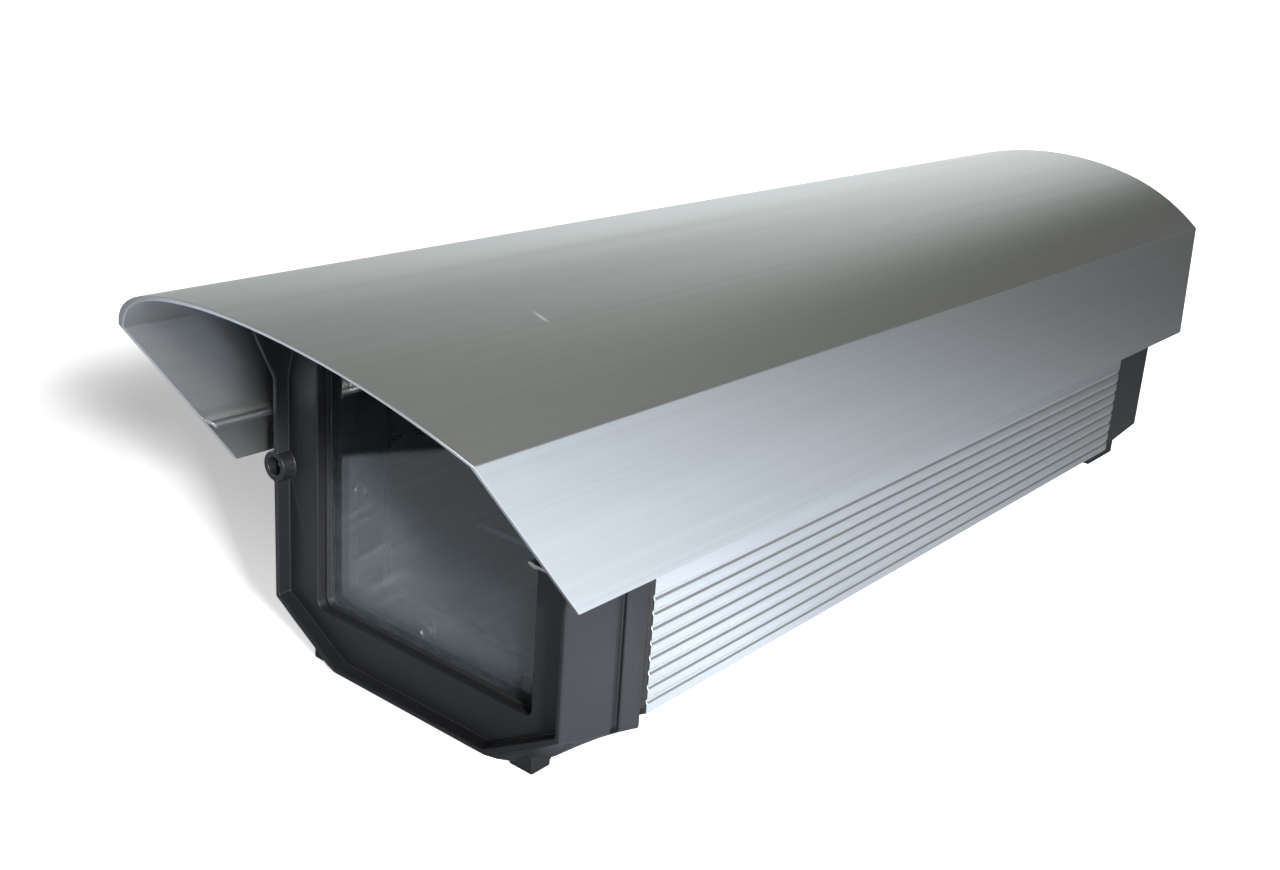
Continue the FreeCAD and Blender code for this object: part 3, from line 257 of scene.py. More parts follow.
@dataclass(frozen=True)
class AnodisedAluminium(GrainedFinish):
    """Extruded aluminium, etched and anodised: satin sheen with faint die lines along Y."""

    name: str = "anodised_aluminium"
    tones: Tones = ("#d3d4d5", "#cdcecf")
    roughness: Span = (0.38, 0.42)
    relief: float = 0.25
    depth_mm: float = 0.01
    line_relief: float = 0.08
    line_mm: float = 0.9
    band_mm: float = 7.0
    run_mm: float = 420.0
    etch_mm: float = 0.45
    band_share: float = 0.5
    tone_noise: Span = (0.35, 0.65)

    def streaks(self, tree: Tree, width_mm: float) -> Socket:
        """Adds noise drawn out along Y, as an extrusion die leaves it.

        Args:
            tree: The material's node tree.
            width_mm: Width of one streak.

        Returns:
            The noise.
        """
        place = add_node(tree, "ShaderNodeTexCoord").outputs["Object"]
        across, along = 1 / (width_mm * MM), 1 / (self.run_mm * MM)
        run = add_node(tree, "ShaderNodeMapping", {"Scale": (across, along, across)},
                       {"Vector": place})
        return add_node(tree, "ShaderNodeTexNoise", {"Scale": 1.0, "Detail": 2.0},
                        {"Vector": run.outputs["Vector"]}).outputs["Fac"]

    def paint(self, tree: Tree) -> Node:
        """Adds fine die lines, wider bands and an etched grain.

        Args:
            tree: The material's node tree.

        Returns:
            The shader.
        """
        place = add_node(tree, "ShaderNodeTexCoord").outputs["Object"]
        lines = self.streaks(tree, self.line_mm)
        bands = self.streaks(tree, self.band_mm)
        etch = add_node(tree, "ShaderNodeTexNoise", {"Scale": 1 / (self.etch_mm * MM), "Detail": 2.0},
                        {"Vector": place}).outputs["Fac"]
        both = add_node(tree, "ShaderNodeMix", {"data_type": "FLOAT", MIX_FACTOR: self.band_share},
                        {MIX_VALUE_A: lines, MIX_VALUE_B: bands}).outputs[MIX_VALUE_RESULT]
        low, high = self.tone_noise
        tone = add_node(tree, "ShaderNodeMapRange", {"From Min": low, "From Max": high},
                        {"Value": both}).outputs["Result"]
        grooves = add_node(tree, "ShaderNodeBump",
                           {"Strength": self.line_relief, "Distance": self.depth_mm * MM},
                           {"Height": lines}).outputs["Normal"]
        return self.shader(tree, tone, etch, {"Metallic": 1.0}, bands, grooves)


@dataclass(frozen=True)
class ScuffedAluminium(AnodisedAluminium):
    """The anodised skin with the small pale scuff that the photo shows on the arch."""

    name: str = "scuffed_aluminium"
    scuff: str = "#fbfbf8"
    scuff_at_mm: Place = (36.0, -185.6, 127.0)
    scuff_half_mm: Place = (4.2, 0.9, 6.0)
    scuff_cover: float = 0.8
    scuff_roughness: float = 0.62

    def paint(self, tree: Tree) -> Node:
        """Adds the scuff, rough and pale, over the die lines.

        Args:
            tree: The material's node tree.

        Returns:
            The shader.
        """
        shader = super().paint(tree)
        mark = spot(tree, self.scuff_at_mm, self.scuff_half_mm, self.scuff_cover)
        for name, marked, kind, a, b, result in (
                ("Base Color", linear(self.scuff), "RGBA", MIX_A, MIX_B, MIX_RESULT),
                ("Roughness", self.scuff_roughness, "FLOAT",
                 MIX_VALUE_A, MIX_VALUE_B, MIX_VALUE_RESULT)):
            plain = shader.inputs[name].links[0].from_socket
            mixed = add_node(tree, "ShaderNodeMix", {"data_type": kind, b: marked},
                             {MIX_FACTOR: mark, a: plain})
            tree.links.new(mixed.outputs[result], shader.inputs[name])
        return shader


@dataclass(frozen=True)
class SawnAluminium(GrainedFinish):
    """Bare aluminium left by the saw on an extrusion's cut end: bright, with saw lines."""

    name: str = "sawn_aluminium"
    tones: Tones = ("#eceded", "#cfd1d3")
    roughness: float = 0.34
    relief: float = 0.4
    depth_mm: float = 0.02
    saw_mm: float = 0.5
    saw_run: float = 12.0
    saw_deg: float = 24.0

    def paint(self, tree: Tree) -> Node:
        """Adds saw lines across the cut.

        Args:
            tree: The material's node tree.

        Returns:
            The shader.
        """
        place = add_node(tree, "ShaderNodeTexCoord").outputs["Object"]
        fine = 1 / (self.saw_mm * MM)
        run = add_node(tree, "ShaderNodeMapping",
                       {"Scale": (fine, fine / self.saw_run, fine / self.saw_run),
                        "Rotation": (0.0, math.radians(self.saw_deg), 0.0)},
                       {"Vector": place})
        lines = add_node(tree, "ShaderNodeTexNoise", {"Scale": 1.0, "Detail": 2.0},
                         {"Vector": run.outputs["Vector"]}).outputs["Fac"]
        return self.shader(tree, lines, lines, {"Metallic": 1.0})


@dataclass(frozen=True)
class MouldedPlastic(GrainedFinish):
    """Injection-moulded plastic with a fine spark-eroded grain from the mould."""

    name: str = "black_abs"
    tones: Tones = ("#1c1d20", "#17181b")
    roughness: Span = (0.4, 0.54)
    relief: float = 0.5
    depth_mm: float = 0.03
    grain_mm: float = 0.55
    flow_marks_per_m: float = 28.0

    def paint(self, tree: Tree) -> Node:
        """Adds the moulded grain and slow flow marks.

        Args:
            tree: The material's node tree.

        Returns:
            The shader.
        """
        place = add_node(tree, "ShaderNodeTexCoord").outputs["Object"]
        grain = add_node(tree, "ShaderNodeTexVoronoi", {"Scale": 1 / (self.grain_mm * MM)},
                         {"Vector": place}).outputs["Distance"]
        flow = add_node(tree, "ShaderNodeTexNoise", {"Scale": self.flow_marks_per_m, "Detail": 3.0},
                        {"Vector": place}).outputs["Fac"]
        return self.shader(tree, flow, grain, {"IOR": 1.46}, flow)


@dataclass(frozen=True)
class Rubber(GrainedFinish):
    """Extruded rubber seal: almost black and matt, with a bloom of pale dust."""

    name: str = "seal_rubber"
    tones: Tones = ("#151516", "#232325")
    roughness: float = 0.72
    relief: float = 0.4
    depth_mm: float = 0.03
    grains_per_m: float = 900.0

    def paint(self, tree: Tree) -> Node:
        """Adds the bloom and a fine skin.

        Args:
            tree: The material's node tree.

        Returns:
            The shader.
        """
        place = add_node(tree, "ShaderNodeTexCoord").outputs["Object"]
        bloom = add_node(tree, "ShaderNodeTexNoise", {"Scale": self.grains_per_m, "Detail": 3.0},
                         {"Vector": place}).outputs["Fac"]
        return self.shader(tree, bloom, bloom, {})


@dataclass(frozen=True)
class WindowGlass(Finish):
    """Float glass, faintly smoked, with a film of dust and wiped streaks in one corner."""

    name: str = "float_glass"
    tint: str = "#cdd3d3"
    dust: str = "#b4bec9"
    film: float = 0.1
    dusty_mm: Span = (20.0, 92.0)
    least_dust: float = 0.25
    specks_per_m: float = 260.0
    wipe: float = 0.12
    wipe_at_mm: Place = (-24.0, -188.0, 40.0)
    wipe_half_mm: Place = (26.0, 8.0, 26.0)
    wipe_deg: float = 37.0
    wipe_gap_mm: float = 2.4
    wipe_run: float = 14.0
    wipe_lines: Span = (0.46, 0.72)

    def paint(self, tree: Tree) -> Node:
        """Adds the dust film and the wiped streaks, and lets lamp light in.

        Args:
            tree: The material's node tree.

        Returns:
            The shader.
        """
        place = add_node(tree, "ShaderNodeTexCoord").outputs["Object"]
        height = add_node(tree, "ShaderNodeSeparateXYZ", links={"Vector": place}).outputs["Z"]
        bottom, top = self.dusty_mm
        settled = add_node(tree, "ShaderNodeMapRange",
                           {"From Min": bottom * MM, "From Max": top * MM,
                            "To Min": 1.0, "To Max": self.least_dust},
                           {"Value": height}).outputs["Result"]
        specks = add_node(tree, "ShaderNodeTexNoise", {"Scale": self.specks_per_m, "Detail": 5.0},
                          {"Vector": place}).outputs["Fac"]
        film = fold(tree, "MULTIPLY", (settled, specks))
        leaning = add_node(tree, "ShaderNodeVectorRotate",
                           {"rotation_type": "Y_AXIS", "Angle": math.radians(self.wipe_deg)},
                           {"Vector": place})
        across = 1 / (self.wipe_gap_mm * MM)
        drawn = add_node(tree, "ShaderNodeVectorMath",
                         {"operation": "MULTIPLY", 1: (across / self.wipe_run, across, across)},
                         {0: leaning.outputs["Vector"]})
        lines = add_node(tree, "ShaderNodeTexNoise", {"Scale": 1.0, "Detail": 3.0},
                         {"Vector": drawn.outputs["Vector"]})
        faint, plain = self.wipe_lines
        streaks = add_node(tree, "ShaderNodeMapRange",
                           {"From Min": faint, "From Max": plain, "To Max": self.wipe},
                           {"Value": lines.outputs["Fac"]}).outputs["Result"]
        wiped = fold(tree, "MULTIPLY", (streaks, spot(tree, self.wipe_at_mm, self.wipe_half_mm)))
        share = add_node(tree, "ShaderNodeMath", {"operation": "MULTIPLY_ADD", 1: self.film},
                         {0: film, 2: wiped}).outputs["Value"]
        pane = add_node(tree, "ShaderNodeBsdfPrincipled",
                        {"Base Color": linear(self.tint), "Transmission Weight": 1.0,
                         "Roughness": 0.0, "IOR": 1.5}).outputs["BSDF"]
        dust = add_node(tree, "ShaderNodeBsdfDiffuse", {"Color": linear(self.dust)}).outputs["BSDF"]
        dusty = add_node(tree, "ShaderNodeMixShader", links={0: share, 1: pane, 2: dust})
        clear = add_node(tree, "ShaderNodeBsdfTransparent", {"Color": linear(self.tint)})
        lamp_ray = add_node(tree, "ShaderNodeLightPath").outputs["Is Shadow Ray"]
        return add_node(tree, "ShaderNodeMixShader",
                        links={0: lamp_ray, 1: dusty.outputs["Shader"], 2: clear.outputs["BSDF"]})


@dataclass(frozen=True)
class PlainMetal(GrainedFinish):
    """Turned or plated metal of small hardware, with fine turning marks."""

    name: str = "zinc_plated_steel"
    tones: Tones = ("#b9babd", "#9a9b9f")
    roughness: Span = (0.25, 0.38)
    relief: float = 0.3
    depth_mm: float = 0.01
    mark_mm: float = 0.3
    patches_per_m: float = 120.0

    def paint(self, tree: Tree) -> Node:
        """Adds tone changes and marks at the tool's feed.

        Args:
            tree: The material's node tree.

        Returns:
            The shader.
        """
        place = add_node(tree, "ShaderNodeTexCoord").outputs["Object"]
        marks = add_node(tree, "ShaderNodeTexNoise", {"Scale": 1 / (self.mark_mm * MM), "Detail": 2.0},
                         {"Vector": place}).outputs["Fac"]
        patches = add_node(tree, "ShaderNodeTexNoise", {"Scale": self.patches_per_m},
                           {"Vector": place}).outputs["Fac"]
        return self.shader(tree, patches, marks, {"Metallic": 1.0}, patches)


BODY_FINISH = AnodisedAluminium()
SHIELD_FINISH = ScuffedAluminium(tones=("#d3d4d4", "#cccdcd"), band_mm=4.5)
SAWN_END = SawnAluminium()
MILL_SHEET = AnodisedAluminium(name="mill_aluminium", tones=("#b4b7bb", "#a4a7ab"),
                               roughness=(0.34, 0.38))
CAP_PLASTIC = MouldedPlastic()
GLAND_NYLON = MouldedPlastic(name="black_nylon", tones=("#1f1f21", "#171719"),
                             roughness=(0.34, 0.48), grain_mm=0.4, depth_mm=0.02)
PAD_PLASTIC = MouldedPlastic(name="natural_nylon", tones=("#dcd8cc", "#cfcabc"),
                             roughness=(0.44, 0.58), depth_mm=0.015)
SEAL_RUBBER = Rubber()
GLASS = WindowGlass()
PLATED_STEEL = PlainMetal()
TURNED_BRASS = PlainMetal(name="turned_brass", tones=("#d3b673", "#b89a58"), roughness=(0.23, 0.36))


def deselect() -> None:
    """Leaves edit mode and selects nothing."""
    if bpy.context.object is not None and bpy.context.object.mode != "OBJECT":
        bpy.ops.object.mode_set(mode="OBJECT")
    bpy.ops.object.select_all(action="DESELECT")


def take_up(piece: Piece) -> None:
    """Selects one object alone and makes it the active one.

    Args:
        piece: The object to work on.
    """
    deselect()
    piece.select_set(True)
    bpy.context.view_layer.objects.active = piece


def select_faces(piece: Piece, wanted: Callable[[Vector, Vector], bool]) -> None:
    """Selects faces by place and normal and goes to edit mode.

    Args:
        piece: The mesh object.
        wanted: Says of a face's centre and normal whether to select it.
    """
    take_up(piece)
    bpy.ops.object.mode_set(mode="EDIT")
    bpy.ops.mesh.select_mode(type="FACE")
    bpy.ops.mesh.select_all(action="DESELECT")
    bpy.ops.object.mode_set(mode="OBJECT")
    for face in piece.data.polygons:
        face.select = wanted(face.center, face.normal)
    bpy.ops.object.mode_set(mode="EDIT")


def edit_whole(piece: Piece) -> None:
    """Selects a whole mesh and goes to edit mode.

    Args:
        piece: The mesh object.
    """
    take_up(piece)
    bpy.ops.object.mode_set(mode="EDIT")
    bpy.ops.mesh.select_all(action="SELECT")


def apply_modifiers(piece: Piece) -> None:
    """Applies all of a piece's modifiers in order.

    Args:
        piece: The mesh object.
    """
    take_up(piece)
    for modifier in list(piece.modifiers):
        bpy.ops.object.modifier_apply(modifier=modifier.name)


def break_edges(piece: Piece, width_mm: float) -> None:
    """Rounds sharp edges and leaves the faces beside them shaded flat and true.

    Args:
        piece: The mesh object.
        width_mm: Width of the rounding.
    """
    take_up(piece)
    bpy.ops.object.shade_smooth_by_angle(angle=SHARP)
    bevel = piece.modifiers.new("edge", "BEVEL")
    bevel.width = width_mm * MM
    bevel.segments = 2
    bevel.limit_method = "ANGLE"
    bevel.angle_limit = SHARP
    bevel.use_clamp_overlap = False
    bevel.miter_outer = "MITER_ARC"
    bevel.harden_normals = True
    apply_modifiers(piece)


def clean_copy(node: str, name: str) -> Piece:
    """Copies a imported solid's mesh and joins its loose triangles to flat faces.

    Args:
        node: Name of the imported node.
        name: Name of the new piece.

    Returns:
        The copy, with its place in its mesh.
    """
    source = frame["nodes"][node]
    copy = source.copy()
    copy.data = source.data.copy()
    copy.name = name
    copy.data.name = name
    copy.parent = None
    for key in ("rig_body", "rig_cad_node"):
        del copy[key]
    bpy.context.scene.collection.objects.link(copy)
    edit_whole(copy)
    bpy.ops.mesh.remove_doubles(threshold=WELD_M)
    bpy.ops.mesh.dissolve_limited(angle_limit=FLAT)
    deselect()
    return copy


def dress(piece: Piece, finish: Finish, node: str) -> None:
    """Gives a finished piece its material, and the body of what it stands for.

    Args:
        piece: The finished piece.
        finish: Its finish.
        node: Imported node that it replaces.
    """
    piece.data.materials.clear()
    piece.data.materials.append(finish.material())
    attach(piece, body_of(frame["nodes"][node])[0])
    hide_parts(node)
    LOG.info("%s: %d faces for %s", piece.name, len(piece.data.polygons), node)


def dressed_copy(node: str, name: str, finish: Finish, edge_mm: float) -> Piece:
    """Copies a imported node, softens its edges and dresses it.

    Args:
        node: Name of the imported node.
        name: Name of the new piece.
        finish: Its finish.
        edge_mm: Width of its rounded edges.

    Returns:
        The dressed piece.
    """
    piece = clean_copy(node, name)
    break_edges(piece, edge_mm)
    dress(piece, finish, node)
    return piece


def dress_ends(piece: Piece, finish: Finish) -> None:
    """Gives the cut ends of an extrusion a second finish.

    Args:
        piece: The extrusion, which runs along Y.
        finish: Finish of the cut faces.
    """
    piece.data.materials.append(finish.material())
    for face in piece.data.polygons:
        if abs(face.normal.y) > SAWN_FACING:
            face.material_index = 1


def solid_boxes(node: str) -> list[tuple[Vector, Vector]]:
    """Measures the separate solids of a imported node.

    Args:
        node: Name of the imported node.

    Returns:
        Lowest and highest corner of each solid.
    """
    edit_whole(clean_copy(node, node + "_measured"))
    bpy.ops.mesh.separate(type="LOOSE")
    bpy.ops.object.mode_set(mode="OBJECT")
    boxes = []
    for solid in list(bpy.context.selected_objects):
        corners = [Vector(corner) for corner in solid.bound_box]
        boxes.append((min(corners, key=sum), max(corners, key=sum)))
        bpy.data.objects.remove(solid)
    return boxes


def turned(name: str, profile_mm: Iterable[Span], corners: int = ROUND) -> Piece:
    """Turns a solid about Z from its lower end face to its upper one.

    Args:
        name: Name of the solid.
        profile_mm: Radius and height of each corner of its profile, from the lower end up.
        corners: Corners of each circle.

    Returns:
        The solid.
    """
    (radius, height), *rest = profile_mm
    deselect()
    bpy.ops.mesh.primitive_circle_add(vertices=corners, radius=radius * MM, fill_type="NGON",
                                      location=(0, 0, height * MM))
    piece = bpy.context.object
    piece.name = name
    bpy.ops.object.transform_apply(location=True)
    edit_whole(piece)
    for next_radius, next_height in rest:
        growth = next_radius / radius
        bpy.ops.mesh.extrude_region_move(
            TRANSFORM_OT_translate={"value": (0, 0, (next_height - height) * MM)})
        bpy.ops.transform.resize(value=(growth, growth, 1), center_override=(0, 0, 0))
        radius, height = next_radius, next_height
    bpy.ops.mesh.select_all(action="SELECT")
    bpy.ops.mesh.normals_make_consistent(inside=False)
    bpy.ops.object.mode_set(mode="OBJECT")
    bpy.ops.object.shade_smooth_by_angle(angle=SHARP)
    return piece


def chamfered(radius_mm: float, low_mm: float, high_mm: float, edge_mm: float) -> list[Span]:
    """Gives the profile of a cylinder with both edges chamfered.

    Args:
        radius_mm: Its radius.
        low_mm: Height of its lower end.
        high_mm: Height of its upper end.
        edge_mm: Width of the chamfers.

    Returns:
        The profile's corners from the lower end up.
    """
    return [(radius_mm - edge_mm, low_mm), (radius_mm, low_mm + edge_mm),
            (radius_mm, high_mm - edge_mm), (radius_mm - edge_mm, high_mm)]


def combine(piece: Piece, tool: Piece, operation: str) -> None:
    """Cuts a tool out of a piece or joins it on, and removes the tool.

    Args:
        piece: The piece that stays.
        tool: What is cut out or joined on.
        operation: Blender's name of the boolean operation.
    """
    change = piece.modifiers.new("change", "BOOLEAN")
    change.object = tool
    change.operation = operation
    apply_modifiers(piece)
    bpy.data.objects.remove(tool)


def copy_to(model: Piece, name: str, place: Vector, way: Vector) -> Piece:
    """Copies a model that points along +Z and puts it where it goes.

    Args:
        model: The model at the origin.
        name: Name of the copy.
        place: Where the model's origin goes.
        way: Where its +Z goes.

    Returns:
        The copy, with its place in its mesh.
    """
    take_up(model)
    bpy.ops.object.duplicate()
    copy = bpy.context.object
    copy.name = name
    copy.rotation_mode = "QUATERNION"
    copy.rotation_quaternion = Vector((0, 0, 1)).rotation_difference(way)
    copy.location = place
    bpy.ops.object.transform_apply(location=True, rotation=True, scale=True)
    return copy


class Drive(Enum):
    """What a screw is turned by."""

    HEXAGON = "hexagon recess"
    SLOT = "screwdriver slot"
    KNURL = "knurled rim"


class Facing(Enum):
    """Way that the head of a screw faces."""

    FRONT = (0.0, -1.0, 0.0)
    REAR = (0.0, 1.0, 0.0)
    UP = (0.0, 0.0, 1.0)
    DOWN = (0.0, 0.0, -1.0)


@dataclass(frozen=True)
class Screw:
    """Turned screw with a flat head, a plain neck and a thread."""

    head_radius_mm: float
    head_mm: float
    thread_radius_mm: float
    shank_mm: float
    thread_mm: float
    drive: Drive
    facing: Facing
    finish: Finish = PLATED_STEEL
    neck_radius_mm: float = 0.0
    pitch_mm: float = 0.7
    edge_mm: float = 0.25
    thread_depth: float = 0.6
    recess_mm: float = 1.4
    recess_share: float = 0.52
    slot_mm: float = 1.0
    teeth: int = 48
    tooth_mm: float = 0.4
    root_mm: float = 0.05
    rim_share: float = 0.98
    dish_rim_mm: float = 1.2

    def model(self, name: str) -> Piece:
        """Models the screw with its seat at the origin and its head towards +Z.

        Args:
            name: Name of the model.

        Returns:
            The screw.
        """
        neck = self.neck_radius_mm or self.thread_radius_mm
        root = self.thread_radius_mm - self.thread_depth * self.pitch_mm
        profile = [(root, -self.shank_mm)]
        for turn in range(int(self.thread_mm / self.pitch_mm)):
            low = turn * self.pitch_mm - self.shank_mm
            profile += [(self.thread_radius_mm, low + self.pitch_mm / 2), (root, low + self.pitch_mm)]
        profile += [(neck, profile[-1][1] + self.pitch_mm / 2), (neck, 0.0)]
        profile += chamfered(self.head_radius_mm, 0.0, self.head_mm, self.edge_mm)
        knurled = self.drive is Drive.KNURL
        screw = turned(name, profile, 2 * self.teeth if knurled else ROUND)
        cut_head = self.cut_knurl if knurled else self.cut_recess
        cut_head(screw)
        return screw

    def cut_recess(self, screw: Piece) -> None:
        """Cuts the hexagon recess or the slot into the head.

        Args:
            screw: The screw, head towards +Z.
        """
        bottom, top = self.head_mm - self.recess_mm, self.head_mm + self.recess_mm
        if self.drive is Drive.HEXAGON:
            radius = self.recess_share * self.head_radius_mm
            cutter = turned("recess", [(radius, bottom), (radius, top)], 6)
        else:
            deselect()
            bpy.ops.mesh.primitive_cube_add(size=1, location=(0, 0, self.head_mm * MM))
            cutter = bpy.context.object
            cutter.scale = (4 * self.head_radius_mm * MM, self.slot_mm * MM, 2 * self.recess_mm * MM)
            bpy.ops.object.transform_apply(scale=True)
        combine(screw, cutter, "DIFFERENCE")

    def cut_knurl(self, screw: Piece) -> None:
        """Sinks every second strip of the head's rim and dishes its top.

        Args:
            screw: The screw, head towards +Z.
        """
        step = math.pi / self.teeth
        rim = self.rim_share * self.head_radius_mm * MM
        select_faces(screw, lambda centre, normal: abs(normal.z) < 1 - SQUARE
                     and math.hypot(centre.x, centre.y) > rim
                     and math.atan2(centre.y, centre.x) // step % 2 == 0)
        bpy.ops.mesh.inset(thickness=self.root_mm * MM, depth=-self.tooth_mm * MM, use_individual=True)
        select_faces(screw, lambda centre, normal: normal.z > SQUARE and centre.z > 0)
        bpy.ops.mesh.inset(thickness=self.dish_rim_mm * MM)
        bpy.ops.mesh.inset(thickness=self.tooth_mm * MM, depth=-self.tooth_mm * MM)
        deselect()

    def stand_for(self, node: str, name: str) -> None:
        """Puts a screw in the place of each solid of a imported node.

        Args:
            node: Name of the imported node.
            name: Name of the screws.
        """
        model = self.model(name + "_model")
        way = Vector(self.facing.value)
        for number, (low, high) in enumerate(solid_boxes(node), 1):
            to_head = way * abs((high - low).dot(way)) / 2
            seat = (low + high) / 2 + to_head - way * self.head_mm * MM
            dress(copy_to(model, f"{name}_{number}", seat, way), self.finish, node)
        bpy.data.objects.remove(model)


@dataclass
class Extrusions:
    """Ribbed lower body and hinged cover, both sawn from aluminium extrusions."""

    edge_mm: float = 0.22
    groove_floor_mm: Span = (60.1, 60.7)
    groove_fill_mm: float = 0.35

    def build(self) -> None:
        """Softens both extrusions and dresses their skins and sawn ends."""
        for node, name in (("lower_body", "ribbed_body"), ("cover_shell", "hinged_cover")):
            piece = clean_copy(node, name)
            if node == "lower_body":
                self.fill_grooves(piece)
            break_edges(piece, self.edge_mm)
            dress(piece, BODY_FINISH, node)
            dress_ends(piece, SAWN_END)

    def fill_grooves(self, body: Piece) -> None:
        """Lifts the floors of the outside grooves, which look shallow in the photo.

        Args:
            body: The lower body, grooved along both sides.
        """
        low, high = (mm * MM for mm in self.groove_floor_mm)
        for side in (-1, 1):
            select_faces(body, lambda middle, normal: low < side * middle.x < high
                         and side * normal.x > SQUARE)
            bpy.ops.transform.translate(value=(side * self.groove_fill_mm * MM, 0, 0))
            deselect()


@dataclass
class Sunshield:
    """Arched sunshield, its front sawn off obliquely, and the screws that lock it."""

    edge_mm: float = 0.25
    screw: Screw = Screw(head_radius_mm=2.75, head_mm=3.0, thread_radius_mm=1.5, shank_mm=4.9,
                         thread_mm=4.0, drive=Drive.HEXAGON, facing=Facing.DOWN, pitch_mm=0.5)

    def build(self) -> None:
        """Softens the shield, dresses its skin and its sawn ends and adds the screws."""
        piece = dressed_copy("sunshield", "arched_sunshield", SHIELD_FINISH, self.edge_mm)
        dress_ends(piece, SAWN_END)
        self.screw.stand_for("shield_lock_screws", "shield_lock_screw")


@dataclass
class EndCaps:
    """Moulded front and rear caps with their seals and screws."""

    edge_mm: float = 0.45
    seal_edge_mm: float = 0.2
    front_screw: Screw = Screw(head_radius_mm=3.2, head_mm=2.6, thread_radius_mm=2.0, shank_mm=16.5,
                               thread_mm=10.0, drive=Drive.HEXAGON, facing=Facing.FRONT)
    rear_screw: Screw = replace(front_screw, shank_mm=47.0, facing=Facing.REAR)

    def build(self) -> None:
        """Builds both caps, the seals behind them and the screws that hold them."""
        dressed_copy("front_cap", "front_bezel", CAP_PLASTIC, self.edge_mm)
        dressed_copy("rear_cap", "rear_cover", CAP_PLASTIC, self.edge_mm)
        for end in ("front", "rear"):
            dressed_copy(f"{end}_seal", f"{end}_ring_seal", SEAL_RUBBER, self.seal_edge_mm)
        self.front_screw.stand_for("front_cap_screws", "front_cap_screw")
        self.rear_screw.stand_for("rear_cap_screws", "rear_cap_screw")


@dataclass
class WindowGroup:
    """Flat pane on its rubber frame, clamped from inside by a sheet frame."""

    pane_edge_mm: float = 0.3
    rubber_edge_mm: float = 0.25
    sheet_edge_mm: float = 0.2
    screw: Screw = Screw(head_radius_mm=2.7, head_mm=1.8, thread_radius_mm=1.5, shank_mm=5.0,
                         thread_mm=3.0, drive=Drive.SLOT, facing=Facing.REAR, recess_mm=0.9,
                         slot_mm=0.8, pitch_mm=0.5)

    def build(self) -> None:
        """Builds the pane, its gasket, the frame and the frame's screws."""
        pane = dressed_copy("window_glass", "window_pane", GLASS, self.pane_edge_mm)
        take_up(pane)
        bpy.ops.object.shade_flat()
        dressed_copy("window_gasket", "window_rubber", SEAL_RUBBER, self.rubber_edge_mm)
        dressed_copy("window_retaining_frame", "window_clamp_frame", MILL_SHEET, self.sheet_edge_mm)
        self.screw.stand_for("window_frame_screws", "window_frame_screw")


@dataclass
class CoverEdges:
    """What joins the cover to the body: hinge pins, side gaskets and closing screws."""

    pin_edge_mm: float = 0.4
    gasket_edge_mm: float = 0.3
    screw: Screw = Screw(head_radius_mm=3.0, head_mm=3.2, thread_radius_mm=2.0, shank_mm=5.3,
                         thread_mm=4.2, drive=Drive.SLOT, facing=Facing.UP, recess_mm=1.2)

    def build(self) -> None:
        """Builds the hinge pins, both side gaskets and the closing screws."""
        for end in ("front", "rear"):
            dressed_copy(f"hinge_pin_{end}", f"{end}_hinge_pin", PLATED_STEEL, self.pin_edge_mm)
        for side in ("hinge", "closing"):
            dressed_copy(f"{side}_side_gasket", f"{side}_edge_gasket", SEAL_RUBBER,
                         self.gasket_edge_mm)
        self.screw.stand_for("closing_screws", "closing_screw")


@dataclass
class CameraMount:
    """Slotted tray with its thumb screws and pad, and the bracket plate on the floor."""

    sheet_edge_mm: float = 0.25
    plate_edge_mm: float = 0.5
    lock: Screw = Screw(head_radius_mm=7.0, head_mm=8.0, thread_radius_mm=2.0, shank_mm=19.5,
                        thread_mm=12.0, drive=Drive.KNURL, facing=Facing.UP,
                        finish=TURNED_BRASS, edge_mm=0.6)
    camera: Screw = Screw(head_radius_mm=9.0, head_mm=5.0, thread_radius_mm=3.17, shank_mm=10.2,
                          thread_mm=5.1, drive=Drive.KNURL, facing=Facing.DOWN,
                          finish=TURNED_BRASS, neck_radius_mm=2.4, pitch_mm=1.27, edge_mm=0.6)

    def build(self) -> None:
        """Builds the tray, the pad, both thumb screws and the bracket plate."""
        dressed_copy("camera_tray", "slotted_tray", MILL_SHEET, self.sheet_edge_mm)
        dressed_copy("insulating_pad", "camera_pad", PAD_PLASTIC, self.plate_edge_mm)
        dressed_copy("bracket_plate", "bracket_bar", PLATED_STEEL, self.plate_edge_mm)
        self.lock.stand_for("tray_lock_screw", "tray_thumb_screw")
        self.camera.stand_for("camera_screw", "camera_thumb_screw")


